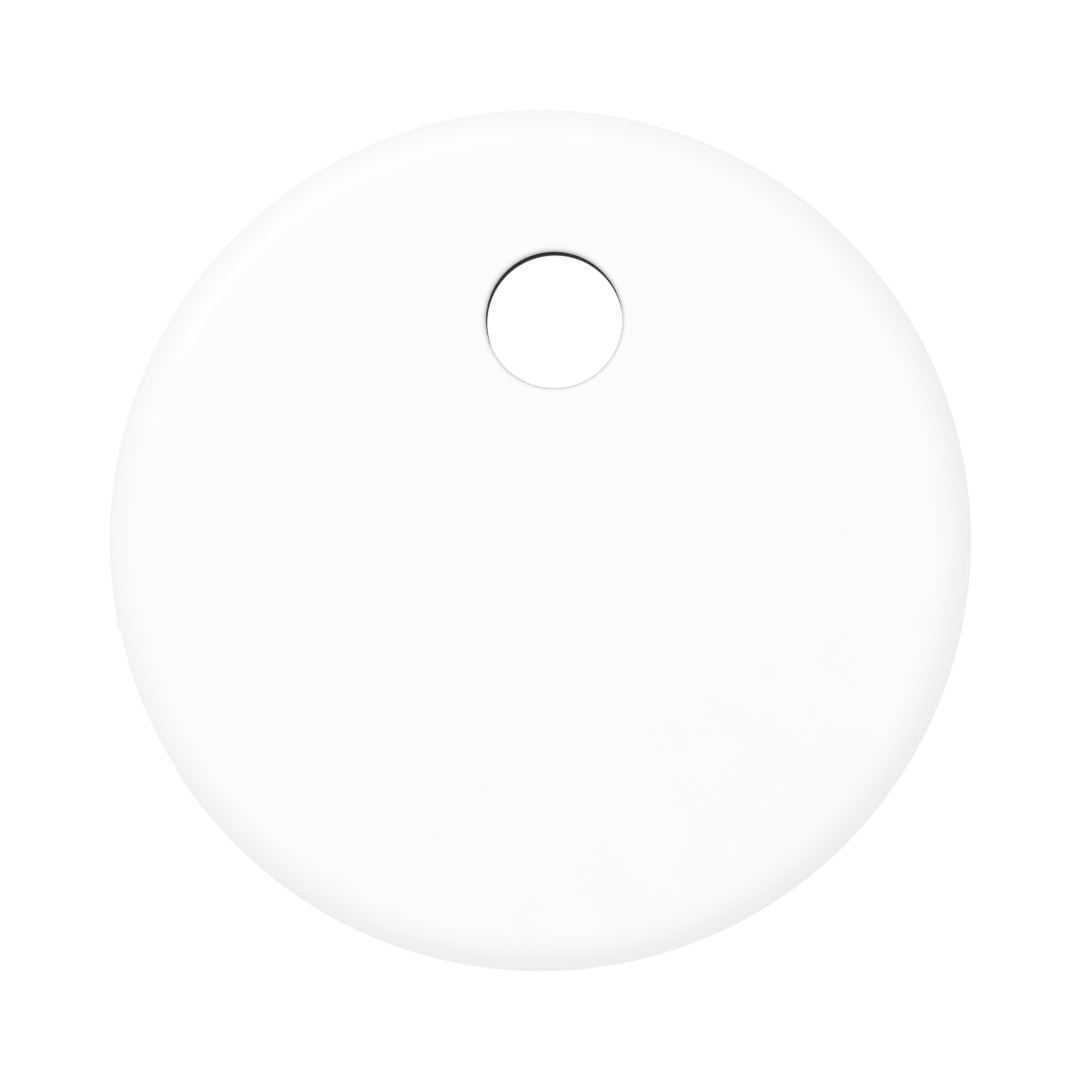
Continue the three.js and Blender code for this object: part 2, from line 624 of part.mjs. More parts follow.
// A ceramic chip with a metal cap over each end.
function chipPart(length, width, height) {
  const cap = length / 4;
  const skin = height / 20;
  const body = box(length - skin * 2, width - skin * 2, skin, height - skin);
  const ends = [-1, 1].map((side) => {
    const end = block(cap, width, height, skin);
    return end.translate((side * (length - cap)) / 2, 0, 0);
  });
  return built(body, ends, []);
}

// A ceramic package with a seam-welded metal lid.
function crystal(length, width, height) {
  const margin = width / 12;
  const lid = block(length - margin * 2, width - margin * 2, height, height / 10);
  return built(box(length, width, 0, height * 0.75), [lid], []);
}

function epoxyChip(length, width, height) {
  return block(length, width, height, height / 14);
}

// A wound drum core between two square flanges.
function inductor(length, width, height) {
  const flange = height / 4;
  const bottom = block(length, width, flange, flange / 6);
  const top = block(length, width, flange, flange / 6).translate(0, 0, height - flange);
  const winding = disc(width * 0.44, flange / 2, height - flange / 2, SMALL_FACETS);
  return built(winding, [bottom, top], []);
}

// A moulded diode with a flat lead folded under each end.
function diode(length, width, height) {
  const body = block(length, width, height - height / 10, height / 8);
  const lead = box(length * 1.45, width / 2, 0, height / 6);
  return built(lead, [body.translate(0, 0, height / 10)], []);
}

function switchBody() {
  const body = block(SWITCH_LENGTH, SWITCH_WIDTH, SWITCH_HEIGHT, SWITCH_HEIGHT / 20);
  const well = disc(SWITCH_WELL_RADIUS, SWITCH_FLOOR, SWITCH_HEIGHT * 2, SMALL_FACETS);
  return built(body, [], [well]);
}

// The steel plate over the switch, with a tab folded down each end of the body.
function switchPlate() {
  const top = SWITCH_HEIGHT + SWITCH_PLATE;
  const length = SWITCH_LENGTH + 2 * (SWITCH_PLATE + TOUCH_GAP);
  const plate = box(length, SWITCH_WIDTH, SWITCH_HEIGHT, top);
  const tabs = [-1, 1].map((side) => {
    const tab = box(SWITCH_PLATE, SWITCH_WIDTH / 2, SWITCH_HEIGHT / 3, top);
    return tab.translate((side * (length - SWITCH_PLATE)) / 2, 0, 0);
  });
  const bore = disc(PLUNGER_RADIUS + PLUNGER_CLEARANCE, 0, top * 2, SMALL_FACETS);
  return built(plate, tabs, [bore]);
}

// The domed disc that snaps through under the plunger.
function switchDome() {
  const reach = SWITCH_WELL_RADIUS - PLUNGER_CLEARANCE;
  const crown = SWITCH_FLOOR + DOME_HEIGHT;
  const profile = [
    [0, crown - DOME_SHEET],
    [reach * 0.5, crown - DOME_SHEET - DOME_HEIGHT * 0.15],
    [reach - DOME_SHEET, SWITCH_FLOOR],
    [reach, SWITCH_FLOOR],
    [reach * 0.5 + DOME_SHEET / 2, crown - DOME_HEIGHT * 0.12],
    [0, crown],
  ];
  return turned(profile, SMALL_FACETS);
}

function switchPlunger() {
  const flange = SWITCH_WELL_RADIUS - PLUNGER_CLEARANCE;
  const bottom = PLUNGER_BOTTOM - BOARD_TOP;
  const top = PLUNGER_TOP - BOARD_TOP;
  const shoulder = SWITCH_HEIGHT - TOUCH_GAP;
  const round = PLUNGER_RADIUS / 5;
  const profile = [
    [0, bottom],
    [flange, bottom],
    [flange, shoulder],
    [PLUNGER_RADIUS, shoulder],
    [PLUNGER_RADIUS, top - round],
    [PLUNGER_RADIUS - round, top],
    [0, top],
  ];
  return turned(profile, SMALL_FACETS);
}

// ---------------------------------------------------------------- coin cell

// The can is the positive pole: a cup turned over, its rim rolled in round the seal.
function batteryCan() {
  const bottom = CELL_BOTTOM + CELL_PROUD;
  const inner = CELL_RADIUS - CELL_SHEET;
  const round = CELL_EDGE_RADIUS;
  const profile = [
    [0, CELL_TOP],
    ...arc(CELL_RADIUS - round, CELL_TOP - round, round, 90, 0, SMALL_STEPS),
    ...arc(CELL_RADIUS - round, bottom + round, round, 0, -90, SMALL_STEPS),
    [CELL_RADIUS - CELL_CRIMP, bottom],
    [CELL_RADIUS - CELL_CRIMP, bottom + CELL_SHEET],
    [inner, bottom + CELL_SHEET],
    [inner, CELL_TOP - CELL_SHEET],
    [0, CELL_TOP - CELL_SHEET],
  ];
  return turned(profile, CELL_FACETS).translate(0, CELL_Y, 0);
}

// The cap is the negative pole: a shallow cup facing up inside the seal.
function batteryCap() {
  const wallTop = CELL_TOP - CELL_SHEET * 3;
  const inner = CAP_RADIUS - CELL_SHEET;
  const profile = [
    [0, CELL_BOTTOM],
    [CAP_RADIUS - CELL_PROUD, CELL_BOTTOM],
    [CAP_RADIUS, CELL_BOTTOM + CELL_PROUD],
    [CAP_RADIUS, wallTop],
    [inner, wallTop],
    [inner, CELL_BOTTOM + CELL_SHEET],
    [0, CELL_BOTTOM + CELL_SHEET],
  ];
  return turned(profile, CELL_FACETS).translate(0, CELL_Y, 0);
}

function batterySeal() {
  const lip = CELL_RADIUS - CELL_CRIMP;
  const bottom = CELL_BOTTOM + CELL_PROUD;
  const outer = CELL_RADIUS - CELL_SHEET;
  const shelf = bottom + CELL_SHEET;
  const top = CELL_TOP - CELL_SHEET * 2;
  const profile = [
    [CAP_RADIUS, bottom],
    [lip, bottom],
    [lip, shelf],
    [outer, shelf],
    [outer, top],
    [CAP_RADIUS, top],
  ];
  return turned(profile, CELL_FACETS).translate(0, CELL_Y, 0);
}

function cellLayer(bottom, top) {
  const radius = CAP_RADIUS - CELL_SHEET - TOUCH_GAP;
  return disc(radius, bottom, top, CELL_FACETS).translate(0, CELL_Y, 0);
}

function batteryAnode() {
  const bottom = CELL_BOTTOM + CELL_SHEET;
  return cellLayer(bottom, bottom + ANODE_HEIGHT);
}

function batterySeparator() {
  const bottom = CELL_BOTTOM + CELL_SHEET + ANODE_HEIGHT;
  return cellLayer(bottom, bottom + SEPARATOR_HEIGHT);
}

function batteryCathode() {
  const bottom = CELL_BOTTOM + CELL_SHEET + ANODE_HEIGHT + SEPARATOR_HEIGHT;
  return cellLayer(bottom, CELL_TOP - CELL_SHEET);
}

// ---------------------------------------------------------------- the tag

const tag = new THREE.Group();
tag.name = "bluetooth_tracker_tag";

function add(name, geometry, look) {
  const mesh = new THREE.Mesh(geometry, look.clone());
  mesh.name = name;
  tag.add(mesh);
}

// A part of the BOARD_PARTS table, shaped by a function of its length, width and height.
function addPart(name, shape, look) {
  add(name, onBoard(name, shape(...BOARD_PARTS[name].size)), look);
}

add("rear_shell", rearShell(), SHELL_PLASTIC);
add("front_cover", frontCover(), SHELL_PLASTIC);
add("hole_sleeve", holeSleeve(), SEAL_RUBBER);
add("rim_gasket", rimGasket(), GASKET_SILICONE);
add("cell_pad", cellPad(), PAD_FOAM);

add("piezo_adhesive", piezoAdhesive(), GLUE_TAPE);
add("piezo_plate", piezoPlate(), PIEZO_BRASS);
add("piezo_ceramic", piezoCeramic(), PIEZO_SILVER);
add("piezo_contact_inner", piezoContact(CERAMIC_TOP, 0), SPRING_BRONZE);
add("piezo_contact_outer", piezoContact(PLATE_TOP, PIEZO_RADIUS - PIEZO_BARE / 2), SPRING_BRONZE);

add("circuit_board", circuitBoard(), BOARD_LAMINATE);
add("battery_holder", batteryHolder(), HOLDER_PLASTIC);
add("negative_contact", negativeContact(), SPRING_BRONZE);
add("positive_contact_right", positiveContactRight(), SPRING_BRONZE);
add("positive_contact_left", positiveContactLeft(), SPRING_BRONZE);

addPart("bluetooth_chip", epoxyChip, CHIP_EPOXY);
addPart("piezo_driver_chip", epoxyChip, CHIP_EPOXY);
addPart("radio_crystal", crystal, CRYSTAL_METAL);
addPart("clock_crystal", crystal, CRYSTAL_METAL);
addPart("chip_antenna", chipPart, ANTENNA_CERAMIC);
addPart("boost_inductor", inductor, INDUCTOR_FERRITE);
addPart("boost_diode", diode, CHIP_EPOXY);
for (let i = 1; i <= 2; i++) addPart(`bulk_capacitor_${i}`, chipPart, CAPACITOR_CERAMIC);
for (let i = 1; i <= 6; i++) addPart(`chip_capacitor_${i}`, chipPart, CAPACITOR_CERAMIC);
for (let i = 1; i <= 4; i++) addPart(`chip_resistor_${i}`, chipPart, CHIP_EPOXY);
add("switch_body", onBoard("tactile_switch", switchBody()), SWITCH_PLASTIC);
add("switch_plate", onBoard("tactile_switch", switchPlate()), SWITCH_STEEL);
add("switch_dome", onBoard("tactile_switch", switchDome()), SWITCH_STEEL);
add("switch_plunger", onBoard("tactile_switch", switchPlunger()), SHELL_PLASTIC);

add("battery_can", batteryCan(), CELL_STEEL);
add("battery_cap", batteryCap(), CELL_STEEL);
add("battery_seal", batterySeal(), CELL_NYLON);
add("battery_anode", batteryAnode(), CELL_LITHIUM);
add("battery_separator", batterySeparator(), SEPARATOR_FELT);
add("battery_cathode", batteryCathode(), CELL_OXIDE);

export default tag;
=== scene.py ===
import math

import bmesh
import bpy
from mathutils import Matrix, Vector


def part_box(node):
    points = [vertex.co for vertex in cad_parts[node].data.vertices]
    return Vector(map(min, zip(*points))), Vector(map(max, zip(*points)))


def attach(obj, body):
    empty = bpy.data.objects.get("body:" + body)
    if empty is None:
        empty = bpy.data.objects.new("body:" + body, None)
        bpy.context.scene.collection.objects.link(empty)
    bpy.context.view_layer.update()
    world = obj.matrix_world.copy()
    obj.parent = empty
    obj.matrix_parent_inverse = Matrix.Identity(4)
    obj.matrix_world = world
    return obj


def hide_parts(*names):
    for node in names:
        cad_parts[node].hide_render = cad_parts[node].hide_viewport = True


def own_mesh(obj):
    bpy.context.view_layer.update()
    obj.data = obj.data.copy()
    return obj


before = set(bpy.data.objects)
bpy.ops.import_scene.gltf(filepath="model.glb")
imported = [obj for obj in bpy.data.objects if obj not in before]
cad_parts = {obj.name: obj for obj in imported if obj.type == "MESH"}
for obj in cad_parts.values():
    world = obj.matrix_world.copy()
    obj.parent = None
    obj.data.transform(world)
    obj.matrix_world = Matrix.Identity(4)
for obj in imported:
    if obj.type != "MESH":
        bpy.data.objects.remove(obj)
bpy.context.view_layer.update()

# ---------------------------------------------------------------- table, light and camera
# The tag lies face up on a lit white table, under a soft overhead light that comes a little
# more from its upper left. The camera looks straight down on the face from arm's length.

MM = 0.001

TABLE_SIZE = 3.0
TABLE_GAP = 0.02 * MM  # keeps the table clear of the tag's rear face
TABLE_GLOW = 1.0
ROOM_GLOW = (0.74, 1.075)  # at the horizon and overhead
SOFTBOX_SIZE = 0.25
SOFTBOX_AT = (-0.09, 0.11, 0.27)
SOFTBOX_POWER = 0.16
CAMERA_HEIGHT = 600 * MM  # above the face
CAMERA_ASIDE = 5.2 * MM  # from the tag's centre, to the right of the view
CAMERA_BELOW = 8.1 * MM  # and towards the bottom of the view
CAMERA_ROLL = math.radians(3.64)
VIEW_WIDTH = 47.4 * MM  # what the view takes in at the face
SENSOR = 36


def linear(colour):
    """A colour such as "#F0F0EE" as linear red, green, blue and alpha."""
    steps = [int(colour[i : i + 2], 16) / 255 for i in (1, 3, 5)]
    return [s / 12.92 if s <= 0.04045 else ((s + 0.055) / 1.055) ** 2.4 for s in steps] + [1]


def add_node(tree, kind, inputs=None, **settings):
    """The outputs of a new node, with its settings made and its inputs linked or set."""
    node = tree.nodes.new(kind)
    for name, value in settings.items():
        setattr(node, name, value)
    for key, value in (inputs or {}).items():
        if isinstance(value, bpy.types.NodeSocket):
            tree.links.new(value, node.inputs[key])
        else:
            node.inputs[key].default_value = value
    return node.outputs


def finish(name, colours, roughness, grain, depth, **sockets):
    """A finish that drifts between two colours, over a surface grain of a size and depth in mm."""
    made = bpy.data.materials.new(name)
    made.use_nodes = True
    tree = made.node_tree
    shader = tree.nodes["Principled BSDF"]
    for socket, value in sockets.items():
        shader.inputs[socket.replace("_", " ")].default_value = value
    place = add_node(tree, "ShaderNodeTexCoord")["Object"]
    fine = add_node(
        tree, "ShaderNodeTexNoise", {"Vector": place, "Scale": 1 / (grain * MM), "Detail": 2}
    )[0]
    broad = add_node(
        tree, "ShaderNodeTexNoise", {"Vector": place, "Scale": 0.04 / (grain * MM), "Detail": 3}
    )[0]
    tint = add_node(
        tree, "ShaderNodeMix", {0: broad, 6: linear(colours[0]), 7: linear(colours[1])},
        data_type="RGBA",
    )[2]
    sheen = {"Value": fine, 1: 0.3, 2: 0.7, 3: roughness * 0.88, 4: roughness * 1.12}
    polish = add_node(tree, "ShaderNodeMapRange", sheen)[0]
    relief = add_node(
        tree, "ShaderNodeBump", {"Height": fine, "Distance": depth * MM, "Strength": 1}
    )[0]
    tree.links.new(tint, shader.inputs["Base Color"])
    tree.links.new(polish, shader.inputs["Roughness"])
    tree.links.new(relief, shader.inputs["Normal"])
    return made


def link(name, data):
    """A new object in the scene."""
    made = bpy.data.objects.new(name, data)
    bpy.context.collection.objects.link(made)
    return made


# Opal acrylic over lamps, lightly sanded: nearly all its light is its own, with a faint mottle.
lit_acrylic = finish("opal acrylic, lit", ("#2E2E2E", "#303030"), 0.9, 2, 0.01, IOR=1.1)
glowing = lit_acrylic.node_tree.nodes["Principled BSDF"]
glowing.inputs["Emission Color"].default_value = linear("#FFFFFF")
glowing.inputs["Emission Strength"].default_value = TABLE_GLOW

table_mesh = bpy.data.meshes.new("table")
quarters = ((-1, -1), (1, -1), (1, 1), (-1, 1))
table_mesh.from_pydata(
    [(x * TABLE_SIZE / 2, y * TABLE_SIZE / 2, 0) for x, y in quarters], [], [(0, 1, 2, 3)]
)
table_mesh.materials.append(lit_acrylic)
table = link("table", table_mesh)
table.location.z = -TABLE_GAP

room = bpy.data.worlds.new("soft white room")
room.use_nodes = True
room.node_tree.nodes["Background"].inputs[0].default_value = linear("#FFFFFF")
direction = add_node(room.node_tree, "ShaderNodeTexCoord")["Generated"]
height = add_node(room.node_tree, "ShaderNodeSeparateXYZ", {0: direction})["Z"]
glow = add_node(
    room.node_tree, "ShaderNodeMapRange", {0: height, 3: ROOM_GLOW[0], 4: ROOM_GLOW[1]}
)[0]
room.node_tree.links.new(glow, room.node_tree.nodes["Background"].inputs[1])
bpy.context.scene.world = room
bpy.context.scene.view_settings.view_transform = "Standard"

softbox_data = bpy.data.lights.new("softbox", "AREA")
softbox_data.size = SOFTBOX_SIZE
softbox_data.energy = SOFTBOX_POWER
softbox_data.color = linear("#FFFFFF")[:3]
softbox = link("softbox", softbox_data)
softbox.location = SOFTBOX_AT
softbox.rotation_euler = (-Vector(SOFTBOX_AT)).to_track_quat("-Z", "Y").to_euler()

face_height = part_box("front_cover")[1].z
view_right = Vector((math.cos(CAMERA_ROLL), math.sin(CAMERA_ROLL), 0))
face_centre = Vector((0, 0, face_height))
view_up = Vector((-view_right.y, view_right.x, 0))
eye = face_centre + view_right * CAMERA_ASIDE - view_up * CAMERA_BELOW
eye.z += CAMERA_HEIGHT
back = (eye - face_centre).normalized()
across = (view_right - back * view_right.dot(back)).normalized()
turn = Matrix((across, back.cross(across), back)).transposed()
camera_data = bpy.data.cameras.new("camera")
camera_data.sensor_width = SENSOR
camera_data.lens = SENSOR * (eye - face_centre).length / VIEW_WIDTH
camera_data.clip_start = 0.01
camera_data.clip_end = 10
camera = link("camera", camera_data)
camera.matrix_world = Matrix.Translation(eye) @ turn.to_4x4()
bpy.context.scene.camera = camera

# ---------------------------------------------------------------- rear shell
# The tray that everything sits in: one ABS moulding with a thick rim, a ledge for the gasket, a
# tube round the keyring hole and three stakes that hold the circuit board. A coin fits the slot
# in its rim to prise the cover off.

rear_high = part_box("rear_shell")[1]
sleeve_low, sleeve_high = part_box("hole_sleeve")
gasket_low, gasket_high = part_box("rim_gasket")
board_low, board_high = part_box("circuit_board")

TAG_RADIUS = rear_high.x / MM
TAG_HEIGHT = face_height / MM
HOLE_Y = (sleeve_low.y + sleeve_high.y) / 2 / MM
REAR_WALL = sleeve_low.z / MM
RIM_TOP = 3.025
RIM_WALL = 1.2
EDGE_RADIUS = 1.5
RIM_INNER = TAG_RADIUS - RIM_WALL
GASKET_INNER = 16.8
GASKET_OUTER = gasket_high.x / MM
LEDGE_TOP = gasket_low.z / MM
LEDGE_INNER = GASKET_INNER - 0.075
GROOVE_RADIUS = RIM_INNER + 0.25
GROOVE_BOTTOM, GROOVE_TOP = 2.095, 2.685
HOLE_RADIUS = 3.0
MOUTH_RADIUS = 0.25
SLEEVE_RADIUS = (sleeve_high.x - sleeve_low.x) / 2 / MM
BOSS_BORE = SLEEVE_RADIUS + 0.05
BOSS_RADIUS = BOSS_BORE + 0.65
BOARD_BOTTOM = board_low.z / MM
BOARD_TOP = board_high.z / MM
BOARD_RADIUS = board_high.x / MM
STAKES = [(72, 15.025), (218, 15.025), (322, 15.025)]  # angle and distance from the centre
PRY_ANGLE = math.radians(205.6)
PRY_WIDTH = 6.3
PRY_HEIGHT = 1.5
PRY_DEPTH = 0.7
PRY_MIDDLE = TAG_HEIGHT / 2
PRY_WALL = 0.3  # width of the slot's sloping wall
PRY_REACH = 0.3  # radians to each side of the slot that it can touch
RECESS_DEPTH = 0.05
RECESS_EDGE = 0.15
RECESS_HALF_HEIGHT = 2.3
RECESS_FADE = 0.3
NICK_WIDTH = 0.08
NICK_DEPTH = 0.14
SOFTENED = 0.15  # flat margin kept beside a rounded edge, so that the flat shades flat
EVENNESS = 0.18  # of the rim's columns, which crowd together at the slot
RIM_COLUMNS = 480
HOLE_COLUMNS = 96
SMALL_COLUMNS = 40
SHARP = math.radians(38)  # edges that turn by more than this stay sharp


def polar(radius, degrees):
    """The point at a radius and an angle."""
    angle = math.radians(degrees)
    return radius * math.cos(angle), radius * math.sin(angle)


def rounded(corners, steps):
    """A line through (radius, height, rounding) corners in mm, with its corners rounded off."""
    line = []
    for i, (r, z, rounding) in enumerate(corners):
        here = Vector((r, z))
        if not rounding:
            line.append((r, z))
            continue
        back_way = (Vector(corners[i - 1][:2]) - here).normalized()
        on_way = (Vector(corners[i + 1][:2]) - here).normalized()
        half_angle = back_way.angle(on_way) / 2
        middle = here + (back_way + on_way).normalized() * rounding / math.sin(half_angle)
        first = here + back_way * rounding / math.tan(half_angle) - middle
        sweep = first.angle_signed(here + on_way * rounding / math.tan(half_angle) - middle)
        for step in range(steps + 1):
            spoke = first.copy()
            spoke.rotate(Matrix.Rotation(-sweep * step / steps, 2))
            line.append(tuple(middle + spoke))
    return line


def divided(start, end, parts):
    """Points that part a straight stretch of a profile, without its ends."""
    return [tuple(Vector(start).lerp(Vector(end), step / parts)) for step in range(1, parts)]


def started(name, output, **inputs):
    """A new tree with named inputs and one output, and the sockets that its inputs arrive at."""
    tree = bpy.data.node_groups.new(name, "GeometryNodeTree")
    for socket, kind in inputs.items():
        tree.interface.new_socket(
            socket.replace("_", " "), in_out="INPUT", socket_type="NodeSocket" + kind
        )
    tree.interface.new_socket(output, in_out="OUTPUT", socket_type="NodeSocketGeometry")
    return tree, add_node(tree, "NodeGroupInput")


def ended(tree, geometry, material):
    """Makes a tree's instances real, coats them and hands them to the tree's output."""
    real = add_node(tree, "GeometryNodeRealizeInstances", {"Geometry": geometry})[0]
    coated = add_node(tree, "GeometryNodeSetMaterial", {"Geometry": real, "Material": material})[0]
    add_node(tree, "NodeGroupOutput", {0: coated})
    return tree


def turned_tree():
    """Turns a profile in the XZ plane round the Z axis, with columns crowded at one angle."""
    tree, given = started(
        "turned", "Piece", Profile="Geometry", Columns="Int", Centre="Vector",
        Crowded_at="Float", Evenness="Float", Material="Material",
    )
    rows = add_node(
        tree, "GeometryNodeAttributeDomainSize", {0: given["Profile"]}, component="MESH"
    )["Point Count"]
    grid = add_node(
        tree, "GeometryNodeMeshGrid", {"Vertices X": given["Columns"], "Vertices Y": rows}
    )["Mesh"]
    index = add_node(tree, "GeometryNodeInputIndex")[0]
    row = add_node(tree, "ShaderNodeMath", {0: index, 1: rows}, operation="MODULO")[0]
    column = add_node(tree, "ShaderNodeMath", {0: index, 1: rows}, operation="DIVIDE")[0]
    column = add_node(tree, "ShaderNodeMath", {0: column}, operation="FLOOR")[0]
    last = add_node(tree, "ShaderNodeMath", {0: given["Columns"], 1: 1.0}, operation="SUBTRACT")[0]
    share = add_node(tree, "ShaderNodeMapRange", {0: column, 1: 0.0, 2: last, 3: -1.0, 4: 1.0})[0]
    cube = add_node(tree, "ShaderNodeMath", {0: share, 1: 3.0}, operation="POWER")[0]
    even = add_node(
        tree, "ShaderNodeMath", {0: share, 1: given["Evenness"]}, operation="MULTIPLY"
    )[0]
    rest = add_node(tree, "ShaderNodeMath", {0: 1.0, 1: given["Evenness"]}, operation="SUBTRACT")[0]
    share = add_node(
        tree, "ShaderNodeMath", {0: cube, 1: rest, 2: even}, operation="MULTIPLY_ADD"
    )[0]
    angle = add_node(
        tree, "ShaderNodeMath", {0: share, 1: math.pi, 2: given["Crowded at"]},
        operation="MULTIPLY_ADD",
    )[0]
    place = add_node(tree, "GeometryNodeInputPosition")[0]
    sample = add_node(
        tree, "GeometryNodeSampleIndex",
        {"Geometry": given["Profile"], "Value": place, "Index": row}, data_type="FLOAT_VECTOR",
    )[0]
    parts = add_node(tree, "ShaderNodeSeparateXYZ", {0: sample})
    cosine = add_node(tree, "ShaderNodeMath", {0: angle}, operation="COSINE")[0]
    sine = add_node(tree, "ShaderNodeMath", {0: angle}, operation="SINE")[0]
    x = add_node(tree, "ShaderNodeMath", {0: parts[0], 1: cosine}, operation="MULTIPLY")[0]
    y = add_node(tree, "ShaderNodeMath", {0: parts[0], 1: sine}, operation="MULTIPLY")[0]
    spot = add_node(tree, "ShaderNodeCombineXYZ", {0: x, 1: y, 2: parts[2]})[0]
    spot = add_node(tree, "ShaderNodeVectorMath", {0: spot, 1: given["Centre"]}, operation="ADD")[0]
    wrapped = add_node(tree, "GeometryNodeSetPosition", {"Geometry": grid, "Position": spot})[0]
    closed = add_node(
        tree, "GeometryNodeMergeByDistance", {"Geometry": wrapped, "Distance": 1e-6}
    )[0]
    smooth = add_node(tree, "GeometryNodeSetShadeSmooth", {"Geometry": closed})[0]
    return ended(tree, smooth, given["Material"])


turning = turned_tree()


def grown(tree, base, **inputs):
    """The plain mesh that a node tree makes from a base mesh, with its named inputs set."""
    holder = link("holder", base)
    modifier = holder.modifiers.new("grown", "NODES")
    modifier.node_group = tree
    for socket in tree.interface.items_tree:
        name = socket.name.replace(" ", "_")
        if socket.in_out == "INPUT" and name in inputs:
            modifier[socket.identifier] = inputs[name]
    graph = bpy.context.evaluated_depsgraph_get()
    made = bpy.data.meshes.new_from_object(
        holder.evaluated_get(graph), preserve_all_data_layers=True, depsgraph=graph
    )
    holder.modifiers.clear()
    bpy.data.objects.remove(holder)
    return made


def turned(profile, material, columns=HOLE_COLUMNS, centre=(0, 0), evenness=1.0):
    """A mesh turned from (radius, height) points in mm, about an upright axis."""
    base = bpy.data.meshes.new("profile")
    joints = [(i, i + 1) for i in range(len(profile) - 1)]
    base.from_pydata([(r * MM, 0, z * MM) for r, z in profile], joints, [])
    return grown(
        turning, base, Columns=columns + 1, Centre=(centre[0] * MM, centre[1] * MM, 0.0),
        Crowded_at=PRY_ANGLE, Evenness=evenness, Material=material,
    )


def closed_up(name, surfaces, levels=()):
    """Surfaces joined into one mesh, with the flat faces at some heights in mm filled in."""
    bm = bmesh.new()
    coats = []
    for surface in surfaces:
        last_coat = [made for made in surface.materials if made][-1]
        if last_coat not in coats:
            coats.append(last_coat)
        before = len(bm.faces)
        bm.from_mesh(surface)
        bm.faces.ensure_lookup_table()
        for face in bm.faces[before:]:
            face.material_index = coats.index(last_coat)
    for level in levels:
        rims = [
            edge
            for edge in bm.edges
            if edge.is_boundary and all(abs(v.co.z / MM - level) < 1e-3 for v in edge.verts)
        ]
        bmesh.ops.triangle_fill(bm, use_beauty=True, use_dissolve=False, edges=rims)
    bmesh.ops.recalc_face_normals(bm, faces=bm.faces)
    for face in bm.faces:
        face.smooth = True
    made = bpy.data.meshes.new(name)
    bm.to_mesh(made)
    bm.free()
    for last_coat in coats:
        made.materials.append(last_coat)
    made.set_sharp_from_angle(angle=SHARP)
    return made


def piece(name, mesh, body, slot, *nodes):
    """A finished piece that rides on a body and stands for some CAD nodes."""
    made = link(name, mesh)
    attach(made, body)
    if nodes:
        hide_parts(*nodes)
    return made


def eased(share):
    """A smooth step from 0 to 1."""
    share = min(max(share, 0), 1)
    return share * share * (3 - 2 * share)


def cut_pry_slot(mesh):
    """Presses the pry slot into a rim: a stadium, in a faint recess that ends in two nicks."""
    half_width = PRY_WIDTH / 2
    thickness = TAG_RADIUS - RIM_INNER
    for vertex in mesh.vertices:
        x, y, z = vertex.co / MM
        radius = math.hypot(x, y)
        turn = math.remainder(math.atan2(y, x) - PRY_ANGLE, math.tau)
        if radius <= RIM_INNER or abs(turn) > PRY_REACH:
            continue
        aside = abs(TAG_RADIUS * math.sin(turn))
        above = abs(z - PRY_MIDDLE)
        past = math.hypot(max(aside - (PRY_WIDTH - PRY_HEIGHT) / 2, 0), above) - PRY_HEIGHT / 2
        floor = (TAG_RADIUS - PRY_DEPTH) / math.cos(turn)
        slot = (TAG_RADIUS - floor) * eased(-past / PRY_WALL)
        reach = eased((RECESS_HALF_HEIGHT - above) / RECESS_FADE)
        recess = RECESS_DEPTH * eased((half_width - aside) / RECESS_EDGE) * reach
        nick = NICK_DEPTH * math.exp(-(((aside - half_width) / NICK_WIDTH) ** 2)) * reach
        depth = max(slot, recess, nick)
        radius_now = RIM_INNER + (radius - RIM_INNER) * (thickness - depth) / thickness
        vertex.co.x *= radius_now / radius
        vertex.co.y *= radius_now / radius


# White ABS from a spark-eroded mould: a fine even matt grain of about 0.1 mm, hardly any sheen.
shell_abs = finish(
    "shell white abs, spark-eroded", ("#F1F1F1", "#EFEFEF"), 0.46, 0.11, 0.004, IOR=1.53
)


def mouth(outer, inner, end):
    """The keyring hole's rounded mouth and the tube behind it, between three heights in mm."""
    corners = [
        (HOLE_RADIUS + MOUTH_RADIUS + SOFTENED, outer, 0),
        (HOLE_RADIUS, outer, MOUTH_RADIUS), (HOLE_RADIUS, inner, 0.03),
        (BOSS_BORE, inner, 0.03), (BOSS_BORE, end, 0.08), (BOSS_RADIUS, end, 0.08),
        (BOSS_RADIUS, inner, 0.2), (BOSS_RADIUS + 0.35, inner, 0),
    ]
    return turned(rounded(corners, 6), shell_abs, HOLE_COLUMNS, (0, HOLE_Y))


rear_rim = turned(
    [(TAG_RADIUS - EDGE_RADIUS - SOFTENED, 0)]
    + rounded([(0, 0, 0), (TAG_RADIUS, 0, EDGE_RADIUS), (TAG_RADIUS, TAG_HEIGHT, 0)], 14)[1:-1]
    + divided((TAG_RADIUS, EDGE_RADIUS), (TAG_RADIUS, RIM_TOP - 0.1), 16)
    + rounded([
        (TAG_RADIUS, 0, 0), (TAG_RADIUS, RIM_TOP, 0.1), (RIM_INNER, RIM_TOP, 0.1),
        (RIM_INNER, GROOVE_TOP, 0.03), (GROOVE_RADIUS, GROOVE_TOP, 0.03),
        (GROOVE_RADIUS, GROOVE_BOTTOM, 0.03), (RIM_INNER, GROOVE_BOTTOM, 0.03),
        (RIM_INNER, LEDGE_TOP, 0.05), (LEDGE_INNER, LEDGE_TOP, 0.05),
        (LEDGE_INNER, REAR_WALL, 0.15), (LEDGE_INNER - 0.4, REAR_WALL, 0),
    ], 4)[1:],
    shell_abs, RIM_COLUMNS, evenness=EVENNESS,
)
